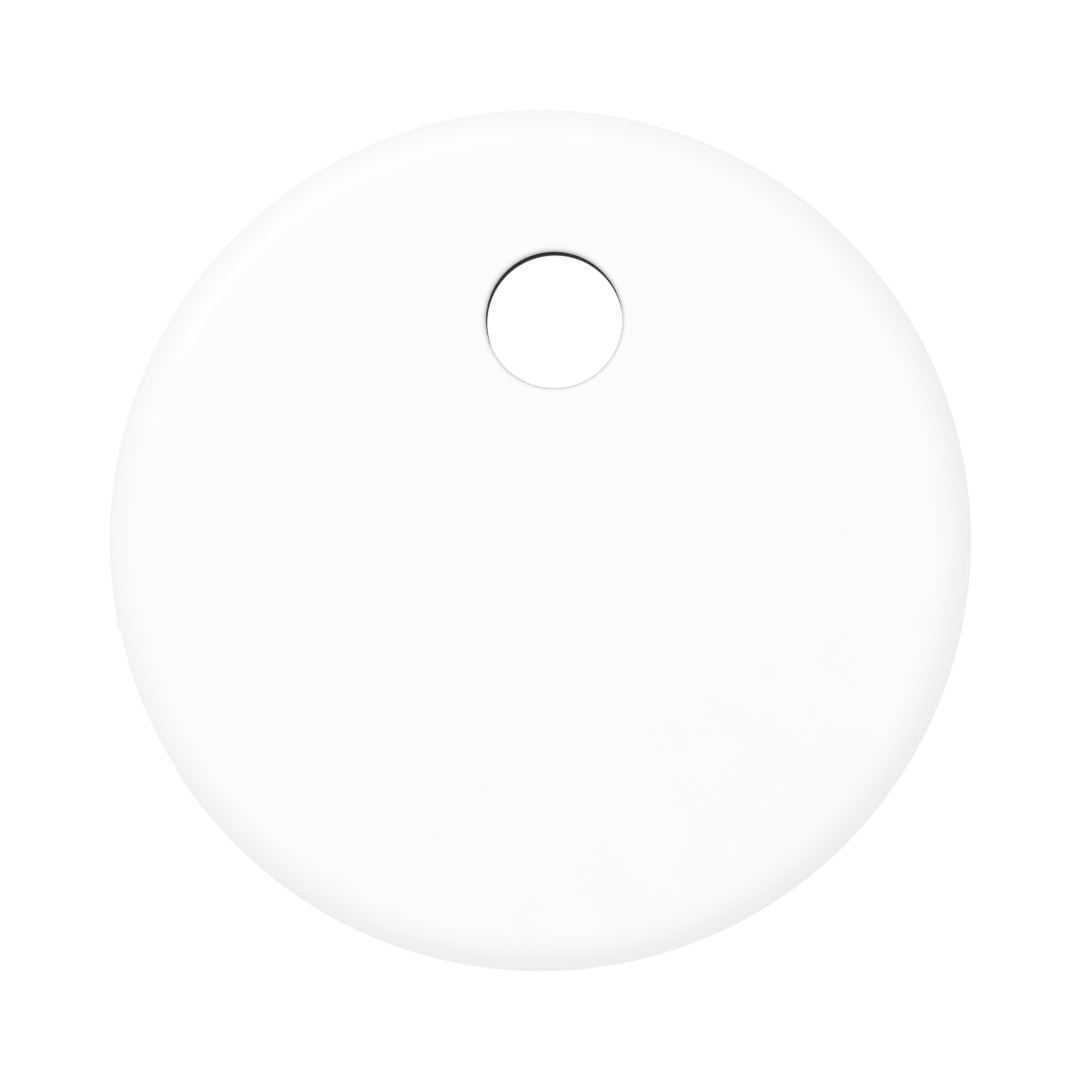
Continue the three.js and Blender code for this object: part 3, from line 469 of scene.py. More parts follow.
# Each stake's pin goes through the board, and its end is melted down into a button.
stake_profile = rounded([
    (1.05, REAR_WALL, 0), (0.8, REAR_WALL, 0.15), (0.8, BOARD_BOTTOM - 0.02, 0.05),
    (0.45, BOARD_BOTTOM - 0.02, 0), (0.45, BOARD_TOP + 0.02, 0),
    (0.75, BOARD_TOP + 0.02, 0.06), (0.72, BOARD_TOP + 0.22, 0.12),
    (0.3, BOARD_TOP + 0.32, 0.2), (0, BOARD_TOP + 0.29, 0),
], 4)
stakes = [
    turned(stake_profile, shell_abs, SMALL_COLUMNS, polar(away, degrees))
    for degrees, away in STAKES
]
rear_parts = [rear_rim, mouth(0, REAR_WALL, RIM_TOP), *stakes]
rear_mesh = closed_up("rear_shell", rear_parts, (0, REAR_WALL))
cut_pry_slot(rear_mesh)
piece("rear_shell_moulding", rear_mesh, "case", "shell_plastic", "rear_shell")

# ---------------------------------------------------------------- hole sleeve and rim gasket
# A rubber tube lines the keyring hole and closes the gap between the two shells there; its near-
# black colour is painted shade on the hole's wall. A flat grey silicone ring lies on the ledge
# under the cover's skirt and seals the rim.

SLEEVE_BOTTOM = sleeve_low.z / MM
SLEEVE_TOP = sleeve_high.z / MM
GASKET_BOTTOM = gasket_low.z / MM
GASKET_TOP = gasket_high.z / MM
SEAM_AT = 0.4  # where the gasket's closed profile starts, away from its corners


def squeeze(soft):
    """Gives a soft piece a mesh of its own, not shared with any other object."""
    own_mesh(soft)


# Sleeve rubber, moulded: a dull skin with hardly any gloss, even seen edge on. Its near-black
# colour is painted shade, which darkens the hole's wall where shade falls in it.
sleeve_rubber = finish(
    "black nitrile rubber, moulded", ("#141414", "#1A1A1A"), 0.88, 0.08, 0.005,
    Specular_IOR_Level=0.06,
)
sleeve_mesh = turned(
    rounded([
        (HOLE_RADIUS, TAG_HEIGHT / 2, 0), (HOLE_RADIUS, SLEEVE_TOP, 0.06),
        (SLEEVE_RADIUS, SLEEVE_TOP, 0.06), (SLEEVE_RADIUS, SLEEVE_BOTTOM, 0.06),
        (HOLE_RADIUS, SLEEVE_BOTTOM, 0.06), (HOLE_RADIUS, TAG_HEIGHT / 2, 0),
    ], 3),
    sleeve_rubber, HOLE_COLUMNS, (0, HOLE_Y),
)
sleeve = piece(
    "hole_sleeve_rubber", closed_up("sleeve", [sleeve_mesh]), "case", "sleeve_rubber", "hole_sleeve"
)
squeeze(sleeve)

# Grey silicone, moulded soft: satin, a little translucent, with a fine powdery bloom.
gasket_silicone = finish(
    "grey silicone, soft moulded", ("#8B8F92", "#979B9D"), 0.58, 0.15, 0.004,
    Subsurface_Weight=0.1, Subsurface_Scale=0.0004,
)
gasket_mesh = turned(
    rounded([
        (GASKET_INNER + SEAM_AT, GASKET_TOP, 0), (GASKET_OUTER, GASKET_TOP, 0.12),
        (GASKET_OUTER, GASKET_BOTTOM, 0.12), (GASKET_INNER, GASKET_BOTTOM, 0.12),
        (GASKET_INNER, GASKET_TOP, 0.12), (GASKET_INNER + SEAM_AT, GASKET_TOP, 0),
    ], 4),
    gasket_silicone, 240,
)
gasket = piece(
    "rim_gasket_silicone", closed_up("gasket", [gasket_mesh]), "cover_seal",
    "gasket_silicone", "rim_gasket",
)
squeeze(gasket)

# ---------------------------------------------------------------- sounder
# A brass disc with a silvered ceramic on it, taped to the rear shell, beeps by flexing. Two
# bronze leaf springs under the board feed it. All of it is shut in below the board.


def coat(material, *nodes):
    """Gives CAD nodes a finish."""
    for node in nodes:
        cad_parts[node].material_slots[0].material = material


# Acrylic foam tape, die-cut: dull, cream, with a fine open grain.
foam_tape = finish("acrylic foam tape, die-cut", ("#E8E4D4", "#DDD8C4"), 0.8, 0.2, 0.01)
coat(foam_tape, "piezo_adhesive")
# Rolled brass sheet: a warm metal, with a soft directionless scuffing.
coat(
    finish("rolled brass sheet", ("#D9BC74", "#C9A85C"), 0.36, 0.12, 0.002, Metallic=1.0),
    "piezo_plate",
)
# Lead zirconate disc, silver printed: a pale dry silver that's slightly patchy.
coat(
    finish("piezo ceramic, silver printed", ("#CFCDC8", "#BEBBB4"), 0.5, 0.1, 0.003, Metallic=0.6),
    "piezo_ceramic",
)
# Phosphor bronze strip, gold flashed: smooth rolled metal with a faint mottle.
spring_bronze = finish(
    "phosphor bronze, gold flashed", ("#E2C078", "#D8B46C"), 0.26, 0.1, 0.0004, Metallic=1.0
)
coat(spring_bronze, "piezo_contact_inner", "piezo_contact_outer")

# ---------------------------------------------------------------- circuit board
# A round 0.6 mm glass-epoxy board with green solder mask, cut out round the keyring hole. It
# carries masked copper tracks, gold test pads, plated vias and white printed outlines.

CUTOUT_RADIUS = BOSS_RADIUS + 0.2
STAKE_HOLE = 0.53
PEG_HOLE = 0.25
can_low, can_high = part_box("battery_can")
CELL_Y = (can_low.y + can_high.y) / 2 / MM
CELL_RADIUS = can_high.x / MM
HOLDER_INNER = CELL_RADIUS + 0.2
HOLDER_OUTER = HOLDER_INNER + 0.6
PEGS = (110, 230, 310)
COPPER = 0.035
TRACK_WIDTH = 0.16
SUPPLY_WIDTH = 0.6
TRACK_BEND = 0.4
VIA_BORE = 0.1
VIA_RADIUS = 0.24
VIA_TOP = BOARD_TOP + COPPER + 0.012
TEST_PAD_RADIUS = 0.5
INK = 0.02
LEGEND_WIDTH = 0.12
LEGEND_GAP = 0.22

board_parts = {}
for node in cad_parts:
    low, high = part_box(node)
    board_parts[node] = ((low + high) / 2 / MM, (high - low) / MM)


def about_cell(radius, degrees):
    """The point at a radius and an angle from the cell's axis."""
    x, y = polar(radius, degrees)
    return x, y + CELL_Y


# Epoxy solder mask over laminate: glossy deep green, with a slight orange peel.
solder_mask = finish(
    "solder mask, green epoxy", ("#0F4630", "#0C3B28"), 0.27, 0.35, 0.003, Coat_Weight=0.3
)
# Cut edge of woven glass and epoxy: pale yellow-green, dry and slightly fibrous.
bare_laminate = finish("glass epoxy, routed edge", ("#A9A46E", "#8F8A56"), 0.7, 0.08, 0.01)
# The same mask where copper lies under it: a lighter green with more shine.
masked_copper = finish(
    "solder mask over copper", ("#1D6B48", "#195F40"), 0.24, 0.3, 0.002, Coat_Weight=0.3
)
# Immersion gold over nickel: a pale satin gold that follows the etched copper under it.
pad_gold = finish(
    "immersion gold on copper", ("#E9C987", "#DDB971"), 0.3, 0.08, 0.002, Metallic=1.0
)
# White epoxy ink, printed: flat and slightly uneven.
board_ink = finish("white legend ink, printed", ("#EDEDE8", "#DCDCD4"), 0.6, 0.12, 0.004)

walls = [turned([(BOARD_RADIUS, BOARD_BOTTOM), (BOARD_RADIUS, BOARD_TOP)], solder_mask, 240)]
openings = [(CUTOUT_RADIUS, (0, HOLE_Y), HOLE_COLUMNS)]
openings += [(STAKE_HOLE, polar(away, degrees), SMALL_COLUMNS) for degrees, away in STAKES]
openings += [
    (PEG_HOLE, about_cell((HOLDER_INNER + HOLDER_OUTER) / 2, degrees), 24) for degrees in PEGS
]
walls += [
    turned([(radius, BOARD_BOTTOM), (radius, BOARD_TOP)], solder_mask, columns, at)
    for radius, at, columns in openings
]
board_mesh = closed_up("circuit_board", walls, (BOARD_BOTTOM, BOARD_TOP))
board_mesh.materials.append(bare_laminate)
for face in board_mesh.polygons:
    face.material_index = int(abs(face.normal.z) < 0.5)
piece("circuit_board_laminate", board_mesh, "case", "board_laminate", "circuit_board")


def ribbon_tree():
    """Lays a flat strip with rounded bends along the lines of a mesh."""
    tree, given = started(
        "ribbon", "Piece", Path="Geometry", Bend="Float", Width="Float", Thickness="Float",
        Material="Material",
    )
    line = add_node(tree, "GeometryNodeMeshToCurve", {0: given["Path"]})[0]
    bent = add_node(
        tree, "GeometryNodeFilletCurve",
        {"Curve": line, "Radius": given["Bend"], "Limit Radius": True, "Count": 4}, mode="POLY",
    )[0]
    upright = add_node(tree, "GeometryNodeSetCurveNormal", {0: bent}, mode="Z_UP")[0]
    section = add_node(
        tree, "GeometryNodeCurvePrimitiveQuadrilateral",
        {"Width": given["Width"], "Height": given["Thickness"]},
    )[0]
    strip = add_node(
        tree, "GeometryNodeCurveToMesh",
        {"Curve": upright, "Profile Curve": section, "Fill Caps": True},
    )[0]
    return ended(tree, strip, given["Material"])


laying = ribbon_tree()


def ribbon(lines, width, thickness, bend, material):
    """Flat strips in mm along lines of (x, y, z) points; a line back to its start closes."""
    points, edges = [], []
    for line in lines:
        first = len(points)
        closed = line[0] == line[-1]
        points += line[:-1] if closed else line
        edges += [(i, i + 1) for i in range(first, len(points) - 1)]
        if closed:
            edges.append((len(points) - 1, first))
    base = bpy.data.meshes.new("path")
    base.from_pydata([tuple(c * MM for c in point) for point in points], edges, [])
    return grown(
        laying, base, Bend=bend * MM, Width=width * MM, Thickness=thickness * MM,
        Material=material,
    )


def setting_tree():
    """Sets a piece at each point of a mesh, turned by the point's own angle."""
    tree, given = started(
        "set out", "Pieces", Points="Geometry", Piece="Object", Material="Material"
    )
    shape = add_node(tree, "GeometryNodeObjectInfo", {"Object": given["Piece"]})["Geometry"]
    turn = add_node(tree, "GeometryNodeInputNamedAttribute", {"Name": "turn"}, data_type="FLOAT")[0]
    spin = add_node(tree, "ShaderNodeCombineXYZ", {2: turn})[0]
    placed = add_node(
        tree, "GeometryNodeInstanceOnPoints",
        {"Points": given["Points"], "Instance": shape, "Rotation": spin},
    )[0]
    return ended(tree, placed, given["Material"])


setting = setting_tree()


def set_out(shape, places, material):
    """Copies of a mesh at (x, y, z, degrees) places in mm, as one mesh."""
    base = bpy.data.meshes.new("places")
    base.from_pydata([tuple(c * MM for c in place[:3]) for place in places], [], [])
    turns = base.attributes.new("turn", "FLOAT", "POINT")
    turns.data.foreach_set("value", [math.radians(place[3]) for place in places])
    pattern = link("pattern", shape)
    made = grown(setting, base, Piece=pattern, Material=material)
    bpy.data.objects.remove(pattern)
    return made


def arc_line(radius, start, end, z, middle=0.0):
    """A line along an arc about a point on the Y axis."""
    steps = max(2, int(abs(end - start) / 3))
    line = []
    for i in range(steps + 1):
        x, y = polar(radius, start + (end - start) * i / steps)
        line.append((x, y + middle, z))
    return line


track_z = BOARD_TOP + COPPER / 2
tracks = []
for radius, start, end in (
    (15.98, 24, 66), (16.22, 31, 80), (15.98, 98, 148), (16.22, 104, 205),
    (15.98, 158, 196), (15.98, 236, 303), (16.22, 228, 332), (15.98, 334, 358),
):
    tracks.append(arc_line(radius, start, end, track_z))
chip_at = board_parts["bluetooth_chip"][0]
for i in range(7):  # a fan of tracks from the radio chip down its side of the board
    start = (chip_at.x - 1.5 + i * 0.5, chip_at.y - 2.4)
    drop = 1.1 + i * 0.35
    tracks.append([
        (start[0], start[1], track_z), (start[0], start[1] - drop, track_z),
        (start[0] - 1.6 + i * 0.12, start[1] - drop - 1.6, track_z),
        (start[0] - 1.6 + i * 0.12, start[1] - drop - 3.6 + i * 0.3, track_z),
    ])
for i in range(6):  # and a second one over its upper side, towards the crystal
    start = (chip_at.x - 0.6 + i * 0.5, chip_at.y + 2.4)
    tracks.append([
        (start[0], start[1], track_z), (start[0], start[1] + 0.5 + 0.2 * i, track_z),
        (start[0] + 1.2, start[1] + 1.7 + 0.2 * i, track_z),
    ])
for radius, start, end in (  # under the cell, where only the cell's springs stand
    (8.6, 100, 172), (8.2, 104, 176), (7.8, 108, 180), (9.2, 185, 262), (8.8, 190, 258),
    (9.2, 280, 352), (8.8, 284, 350), (7.2, 20, 76), (6.8, 24, 72),
):
    tracks.append(arc_line(radius, start, end, track_z, CELL_Y))
driver_at = board_parts["piezo_driver_chip"][0]
coil_at = board_parts["boost_inductor"][0]
supply = [
    [(driver_at.x, driver_at.y, track_z), (coil_at.x, coil_at.y, track_z)],
    [(coil_at.x, coil_at.y, track_z), *arc_line(14.6, 36, 12, track_z)],
    arc_line(14.2, 6, -22, track_z),
    [(chip_at.x + 1.5, chip_at.y + 2.4, track_z), (-5.4, 13.2, track_z), (-2.4, 15.0, track_z)],
]
track_mesh = closed_up(
    "tracks",
    [
        ribbon(tracks, TRACK_WIDTH, COPPER, TRACK_BEND, masked_copper),
        ribbon(supply, SUPPLY_WIDTH, COPPER * 1.2, TRACK_BEND, masked_copper),
    ],
)
piece("board_tracks", track_mesh, "case", "board_laminate")

via_corners = [
    (VIA_BORE, BOARD_BOTTOM + 0.1, 0), (VIA_BORE, VIA_TOP, 0.01),
    (VIA_RADIUS, VIA_TOP, 0.01), (VIA_RADIUS, BOARD_TOP - 0.01, 0),
]
via = turned(rounded(via_corners, 2), pad_gold, 14)
via_places = [(*line[-1][:2], 0, 0) for line in tracks] + [
    (*line[0][:2], 0, 0) for line in tracks if len(line) > 4
]
pad_corners = [
    (0, BOARD_TOP + COPPER, 0), (TEST_PAD_RADIUS, BOARD_TOP + COPPER, 0.015),
    (TEST_PAD_RADIUS, BOARD_TOP, 0),
]
test_pad = turned(rounded(pad_corners, 2), pad_gold, 28)
pad_places = [(*about_cell(5.2, 30 + 60 * i), 0, 0) for i in (0, 2, 4)]
pad_places += [(*polar(15.3, degrees), 0, 0) for degrees in (196, 201, 206, 211, 330, 335, 340)]
pads_mesh = closed_up(
    "vias and pads", [set_out(via, via_places, pad_gold), set_out(test_pad, pad_places, pad_gold)]
)
piece("board_vias_and_pads", pads_mesh, "case", "board_laminate")

# ---------------------------------------------------------------- cell holder and contacts
# A black glass-filled nylon ring, pegged to the board, keeps the coin cell in place. A sprung
# bronze star under the cell takes its minus side, and two clips beside it take its plus side.

HOLDER_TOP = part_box("battery_holder")[1].z / MM
WINDOW_WIDTH = 3.0
WINDOW_SILL = 0.5
NOTCH_ANGLE = 52
NOTCH_WIDTH = 6.0
NOTCH_DEPTH = 1.3
STAR_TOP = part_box("negative_contact")[1].z / MM
CLIP_SHEET = 0.15
CLIP_WIDTH = 2.2
CLIP_RISE = 2.1
STAR_SHEET = 0.1
STAR_HUB = 2.0
STAR_REACH = 5.4


def block(length, width, bottom, top, bevel=0.0, material=None, at=(0, 0), degrees=0, steps=2):
    """A closed box in mm with rounded edges, turned and then moved to a point."""
    bm = bmesh.new()
    bmesh.ops.create_cube(bm, size=1)
    bmesh.ops.scale(bm, verts=bm.verts, vec=(length * MM, width * MM, (top - bottom) * MM))
    if bevel:
        bmesh.ops.bevel(
            bm, geom=bm.edges[:], offset=bevel * MM, segments=steps, profile=0.5, affect="EDGES"
        )
    place = Matrix.Translation((at[0] * MM, at[1] * MM, (bottom + top) / 2 * MM))
    bm.transform(place @ Matrix.Rotation(math.radians(degrees), 4, "Z"))
    made = bpy.data.meshes.new("block")
    bm.to_mesh(made)
    bm.free()
    if material:
        made.materials.append(material)
    return made


def carved(name, mesh, cutters, bevel):
    """A mesh with others cut out of it and its sharp edges softened."""
    body = link(name, mesh)
    tools = []
    for cutter in cutters:
        tool = link("cutter", cutter)
        cut = body.modifiers.new("cut", "BOOLEAN")
        cut.operation = "DIFFERENCE"
        cut.solver = "EXACT"
        cut.object = tool
        tools.append(tool)
    if bevel:
        softened = body.modifiers.new("softened", "BEVEL")
        softened.width = bevel * MM
        softened.segments = 2
        softened.limit_method = "ANGLE"
        softened.angle_limit = SHARP
    graph = bpy.context.evaluated_depsgraph_get()
    made = bpy.data.meshes.new_from_object(body.evaluated_get(graph), depsgraph=graph)
    for thing in (body, *tools):
        bpy.data.objects.remove(thing)
    return closed_up(name, [made])


# Nylon with glass fibre, moulded: black, satin, with a dusting of fibre near the surface.
holder_nylon = finish("glass-filled nylon, moulded", ("#1B1C1E", "#26272A"), 0.52, 0.09, 0.006)

holder_ring = turned(
    [
        (HOLDER_INNER, BOARD_TOP), (HOLDER_OUTER, BOARD_TOP), (HOLDER_OUTER, HOLDER_TOP),
        (HOLDER_INNER, HOLDER_TOP), (HOLDER_INNER, BOARD_TOP),
    ],
    holder_nylon, 160, (0, CELL_Y),
)
holder_ring = closed_up("holder ring", [holder_ring])
windows = block(
    HOLDER_OUTER * 3, WINDOW_WIDTH, BOARD_TOP + WINDOW_SILL, HOLDER_TOP + 2, at=(0, CELL_Y)
)
notch = block(
    HOLDER_OUTER, NOTCH_WIDTH, HOLDER_TOP - NOTCH_DEPTH, HOLDER_TOP + 2,
    at=about_cell(HOLDER_OUTER, NOTCH_ANGLE), degrees=NOTCH_ANGLE,
)
holder_mesh = carved("battery_holder", holder_ring, [windows, notch], 0.07)
piece("battery_holder_ring", holder_mesh, "case", "holder_plastic", "battery_holder")


def folded(line, sheet, width, bend, degrees):
    """Sheet metal folded along a line of (x, z) points, with its width along Y, about the cell."""
    mesh = ribbon([[(x, z, 0) for x, z in line]], sheet, width, bend, spring_bronze)
    stand = Matrix.Rotation(math.pi / 2, 4, "X")
    turn = Matrix.Rotation(math.radians(degrees), 4, "Z")
    mesh.transform(Matrix.Translation((0, CELL_Y * MM, 0)) @ turn @ stand)
    return mesh


star_arm_height = STAR_TOP - STAR_SHEET / 2 - 0.01  # a little below the hub's own faces
star_foot = BOARD_TOP + COPPER + STAR_SHEET / 2
star_arm = [
    (STAR_HUB - 0.15, star_arm_height), (2.4, star_arm_height), (4.1, star_foot),
    (STAR_REACH, star_foot),
]
star = [folded(star_arm, STAR_SHEET, 1.5, 0.5, 90 + 120 * i) for i in range(3)]
hub_corners = [
    (0, STAR_TOP - 0.04, 0), (0.7, STAR_TOP, 0.3), (STAR_HUB, STAR_TOP, 0.04),
    (STAR_HUB, STAR_TOP - STAR_SHEET, 0.04), (0.7, STAR_TOP - STAR_SHEET, 0.3),
    (0, STAR_TOP - 0.04 - STAR_SHEET, 0),
]
star.append(turned(rounded(hub_corners, 4), spring_bronze, 48, (0, CELL_Y)))
piece(
    "negative_contact_star", closed_up("negative_contact", star), "case", "spring_bronze",
    "negative_contact",
)

clip_foot = BOARD_TOP + COPPER + CLIP_SHEET / 2
clip_in = HOLDER_OUTER + CLIP_SHEET * 1.2
clip_bears = CELL_RADIUS + 0.02 + CLIP_SHEET * 0.8
clip_line = [
    (clip_in + 1.3, clip_foot), (clip_in, clip_foot), (clip_in, BOARD_TOP + CLIP_RISE - 0.05),
    (clip_bears + 0.02, BOARD_TOP + CLIP_RISE * 0.7),
    (clip_bears + CLIP_SHEET, BOARD_TOP + CLIP_RISE * 0.45),
]
for side, degrees in (("right", 0), ("left", 180)):
    clip = closed_up("clip", [folded(clip_line, CLIP_SHEET, CLIP_WIDTH, 0.2, degrees)])
    node = "positive_contact_" + side
    piece(node + "_clip", clip, "case", "spring_bronze", node)

# Tin solder, reflowed: bright, with a slightly frosted skin.
solder = finish("tin solder, reflowed", ("#D8D9DA", "#CBCDCE"), 0.24, 0.12, 0.0008, Metallic=1.0)
joint_corners = [
    (1.15, BOARD_TOP, 0), (1.0, BOARD_TOP + 0.05, 0.05), (0.7, BOARD_TOP + 0.13, 0.3),
    (0, BOARD_TOP + 0.15, 0),
]
joint = turned(rounded(joint_corners, 3), solder, 24)
joint_places = [(*about_cell(4.9, 90 + 120 * i), 0, 0) for i in range(3)]
joint_places += [(*about_cell(clip_in + 1.0, degrees), 0, 0) for degrees in (0, 180)]
joints_mesh = closed_up("joints", [set_out(joint, joint_places, solder)])
piece("contact_solder", joints_mesh, "case", "spring_bronze")

# ---------------------------------------------------------------- parts on the board
# Surface-mount parts, reflow soldered round the holder: the radio chip with its crystals and
# aerial, and the sounder's driver with its coil, diode and capacitors.

# Epoxy moulding compound: black, matt and faintly grainy from its silica.
chip_epoxy = finish("epoxy moulding compound", ("#191A1B", "#212223"), 0.56, 0.06, 0.004)
# Nickel-plated lid, seam welded: satin metal.
lid_nickel = finish("nickel-plated lid", ("#C9C7C0", "#B4B2AB"), 0.3, 0.05, 0.001, Metallic=1.0)
# Alumina, fired: off-white, hard and dry.
alumina = finish("alumina ceramic, fired", ("#E9E6DC", "#DEDACD"), 0.42, 0.05, 0.002)
# Barium titanate, fired: a tan, slightly glossy ceramic.
titanate = finish("barium titanate, fired", ("#A98A63", "#967752"), 0.36, 0.05, 0.002)
# Ferrite, ground: a cool dark grey with a dry sheen.
ferrite = finish("ferrite, ground", ("#3A3A3C", "#2F2F31"), 0.6, 0.07, 0.004)
# Enamelled copper wire: an orange metal under clear varnish.
magnet_wire = finish(
    "enamelled copper wire", ("#B96A3C", "#A4582D"), 0.25, 0.1, 0.001, Metallic=1.0, Coat_Weight=0.6
)

LEAD_SIZE = 0.24
LEAD_PITCH = 0.5
COIL_CORE = 1.0
COIL_RADIUS = 1.22
WIRE = 0.13


def on_board(mesh, at):
    """A mesh moved from the origin to a point on the board, in mm."""
    mesh.transform(Matrix.Translation((at.x * MM, at.y * MM, BOARD_TOP * MM)))
    return mesh


def leads(length, width, count):
    """Places of the leads along the four sides of a chip."""
    places = []
    for i in range(count):
        along = (i - (count - 1) / 2) * LEAD_PITCH
        places += [(along, width / 2, 0, 90), (along, -width / 2, 0, 90)]
        places += [(length / 2, along, 0, 0), (-length / 2, along, 0, 0)]
    return places


for node, count in (("bluetooth_chip", 8), ("piezo_driver_chip", 4)):
    at, size = board_parts[node]
    lead = block(LEAD_SIZE, LEAD_SIZE, COPPER / 2, 0.2, 0.02, solder)
    body = block(size.x - 0.06, size.y - 0.06, COPPER, size.z, 0.06, chip_epoxy)
    dimple_at = (0.85 - size.x / 2, size.y / 2 - 0.85)
    dimple = block(0.5, 0.5, size.z - 0.05, size.z + 0.3, 0.2, at=dimple_at)
    body = carved("chip", body, [dimple], 0)
    body.materials.clear()
    body.materials.append(chip_epoxy)
    around = leads(size.x - LEAD_SIZE, size.y - LEAD_SIZE, count)
    package = closed_up(node, [body, set_out(lead, around, solder)])
    piece(node + "_package", on_board(package, at), "case", "chip_epoxy", node)

for node in ("radio_crystal", "clock_crystal"):
    at, size = board_parts[node]
    base = block(size.x, size.y, COPPER, size.z * 0.72, 0.05, alumina)
    flange = block(size.x - 0.2, size.y - 0.2, size.z * 0.7, size.z * 0.8, 0.02, lid_nickel)
    lid = block(size.x - 0.34, size.y - 0.34, size.z * 0.6, size.z, 0.07, lid_nickel, steps=3)
    package = on_board(closed_up(node, [base, flange, lid]), at)
    piece(node + "_package", package, "case", "crystal_metal", node)

small_capacitors = [f"chip_capacitor_{i}" for i in range(1, 7)]
small_resistors = [f"chip_resistor_{i}" for i in range(1, 5)]
for nodes, ceramic, slot, name in (
    (["chip_antenna"], alumina, "antenna_ceramic", "aerial_chip"),
    (["bulk_capacitor_1", "bulk_capacitor_2"], titanate, "capacitor_ceramic", "bulk_capacitors"),
    (small_capacitors, titanate, "capacitor_ceramic", "chip_capacitors"),
    (small_resistors, chip_epoxy, "chip_epoxy", "chip_resistors"),
):
    x, y, z = board_parts[nodes[0]][1]
    cap = x / 4
    skin = z / 18
    bodies = block(x - 2 * skin, y - 2 * skin, skin, z - skin, skin, ceramic)
    ends, fillets = [], []
    for side in (-1, 1):
        cap_at, fillet_at = (side * (x - cap) / 2, 0), (side * (x - cap * 0.72) / 2, 0)
        ends.append(block(cap, y, 0, z, z / 9, solder, at=cap_at))
        fillets.append(block(cap * 0.9, y * 0.86, 0, z * 0.28, z * 0.1, solder, at=fillet_at))
    places = [(*board_parts[node][0].xy, BOARD_TOP + 0.002, 0) for node in nodes]
    metal = closed_up("ends", ends + fillets)
    chips = [set_out(bodies, places, ceramic), set_out(metal, places, solder)]
    piece(name, closed_up(name, chips), "case", slot, *nodes)

at, size = board_parts["boost_inductor"]
flange = size.z / 4
coil = [
    block(size.x, size.y, 0.02, flange, 0.1, ferrite),
    block(size.x, size.y, size.z - flange, size.z, 0.1, ferrite),
]
winds = int((size.z - 2 * flange) / WIRE)
profile = [(COIL_CORE, flange - 0.02)]
for i in range(winds):
    middle = flange + (i + 0.5) * (size.z - 2 * flange) / winds
    profile += [
        (COIL_RADIUS + WIRE / 2 * math.cos(a), middle + WIRE / 2 * math.sin(a))
        for a in (-1.3, -0.6, 0, 0.6, 1.3)
    ]
profile.append((COIL_CORE, size.z - flange + 0.02))
coil.append(turned(profile, magnet_wire, 48))
coil += [block(0.7, 2.2, 0, 0.12, 0.02, solder, at=(x, 0)) for x in (1.12, -1.12)]
coil_mesh = on_board(closed_up("boost_inductor", coil), at)
piece("boost_inductor_coil", coil_mesh, "case", "inductor_ferrite", "boost_inductor")

at, size = board_parts["boost_diode"]
diode = [
    block(size.x / 1.45, size.y, 0.09, size.z, 0.1, chip_epoxy),
    block(size.x, size.y / 2, 0.01, 0.15, 0.03, solder),
]
diode_mesh = on_board(closed_up("boost_diode", diode), at)
piece("boost_diode_package", diode_mesh, "case", "chip_epoxy", "boost_diode")

outlined = ("bluetooth", "piezo_driver", "radio", "clock", "boost_i", "bulk", "switch_b")
outlines = []
for node, (at, size) in board_parts.items():
    if node.startswith(outlined):
        x, y = size.x / 2 + LEGEND_GAP, size.y / 2 + LEGEND_GAP
        corners = [(x, y), (-x, y), (-x, -y), (x, -y), (x, y)]
        outlines.append([(at.x + dx, at.y + dy, BOARD_TOP + INK / 2) for dx, dy in corners])
for start, end in ((8, 44), (62, 172), (188, 232), (308, 352)):
    outlines.append(arc_line(HOLDER_OUTER + 0.25, start, end, BOARD_TOP + INK / 2, CELL_Y))
outline_mesh = closed_up("outlines", [ribbon(outlines, LEGEND_WIDTH, INK, 0.1, board_ink)])
piece("board_legend_outlines", outline_mesh, "case", "board_laminate")

# ---------------------------------------------------------------- tactile switch
# A moulded box with a domed steel disc in its well, shut by a folded steel plate. The plunger
# stands up through the plate, just under the post of the cover.

# Glass-filled nylon for soldering heat: black and satin.
coat(finish("switch nylon, moulded", ("#1F2022", "#292A2C"), 0.5, 0.07, 0.004), "switch_body")
# Stainless strip, punched and folded: bright rolled metal.
switch_steel = finish(
    "stainless strip, rolled", ("#C9CACC", "#B5B6B8"), 0.3, 0.06, 0.001, Metallic=1.0
)
coat(switch_steel, "switch_plate")
dome_low, dome_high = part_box("switch_dome")
dome_at = board_parts["switch_dome"][0]
dome_bottom, dome_top = dome_low.z / MM, dome_high.z / MM
dome = turned(
    rounded([
        (0, dome_top, 0), (0.6, dome_top - 0.04, 0.6), (1.1, dome_bottom + 0.04, 0.1),
        (1.14, dome_bottom, 0), (1.06, dome_bottom, 0), (0.6, dome_top - 0.1, 0.6),
        (0, dome_top - 0.06, 0),
    ], 5),
    switch_steel, SMALL_COLUMNS, (dome_at.x, dome_at.y),
)
dome = piece("switch_dome_steel", closed_up("dome", [dome]), "case", "switch_steel", "switch_dome")
squeeze(dome)

# Acetal, moulded: white and waxy.
plunger_acetal = finish("white acetal, moulded", ("#EDEDE9", "#E4E4DF"), 0.35, 0.1, 0.002)

plunger_low, plunger_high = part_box("switch_plunger")
stem_at = board_parts["switch_plunger"][0]
plunger_bottom, plunger_top = plunger_low.z / MM, plunger_high.z / MM
PLUNGER_RADIUS = 0.75
PLUNGER_FLANGE = 1.15
FLANGE_TOP = 3.08
plunger = turned(
    rounded([
        (0, plunger_bottom, 0), (PLUNGER_FLANGE, plunger_bottom, 0.05),
        (PLUNGER_FLANGE, FLANGE_TOP, 0.05), (PLUNGER_RADIUS, FLANGE_TOP, 0.03),
        (PLUNGER_RADIUS, plunger_top, 0.14), (0, plunger_top, 0),
    ], 4),
    plunger_acetal, SMALL_COLUMNS, (stem_at.x, stem_at.y),
)
stem = closed_up("plunger", [plunger])
piece("switch_plunger_stem", stem, "switch_plunger", "switch_plastic", "switch_plunger")

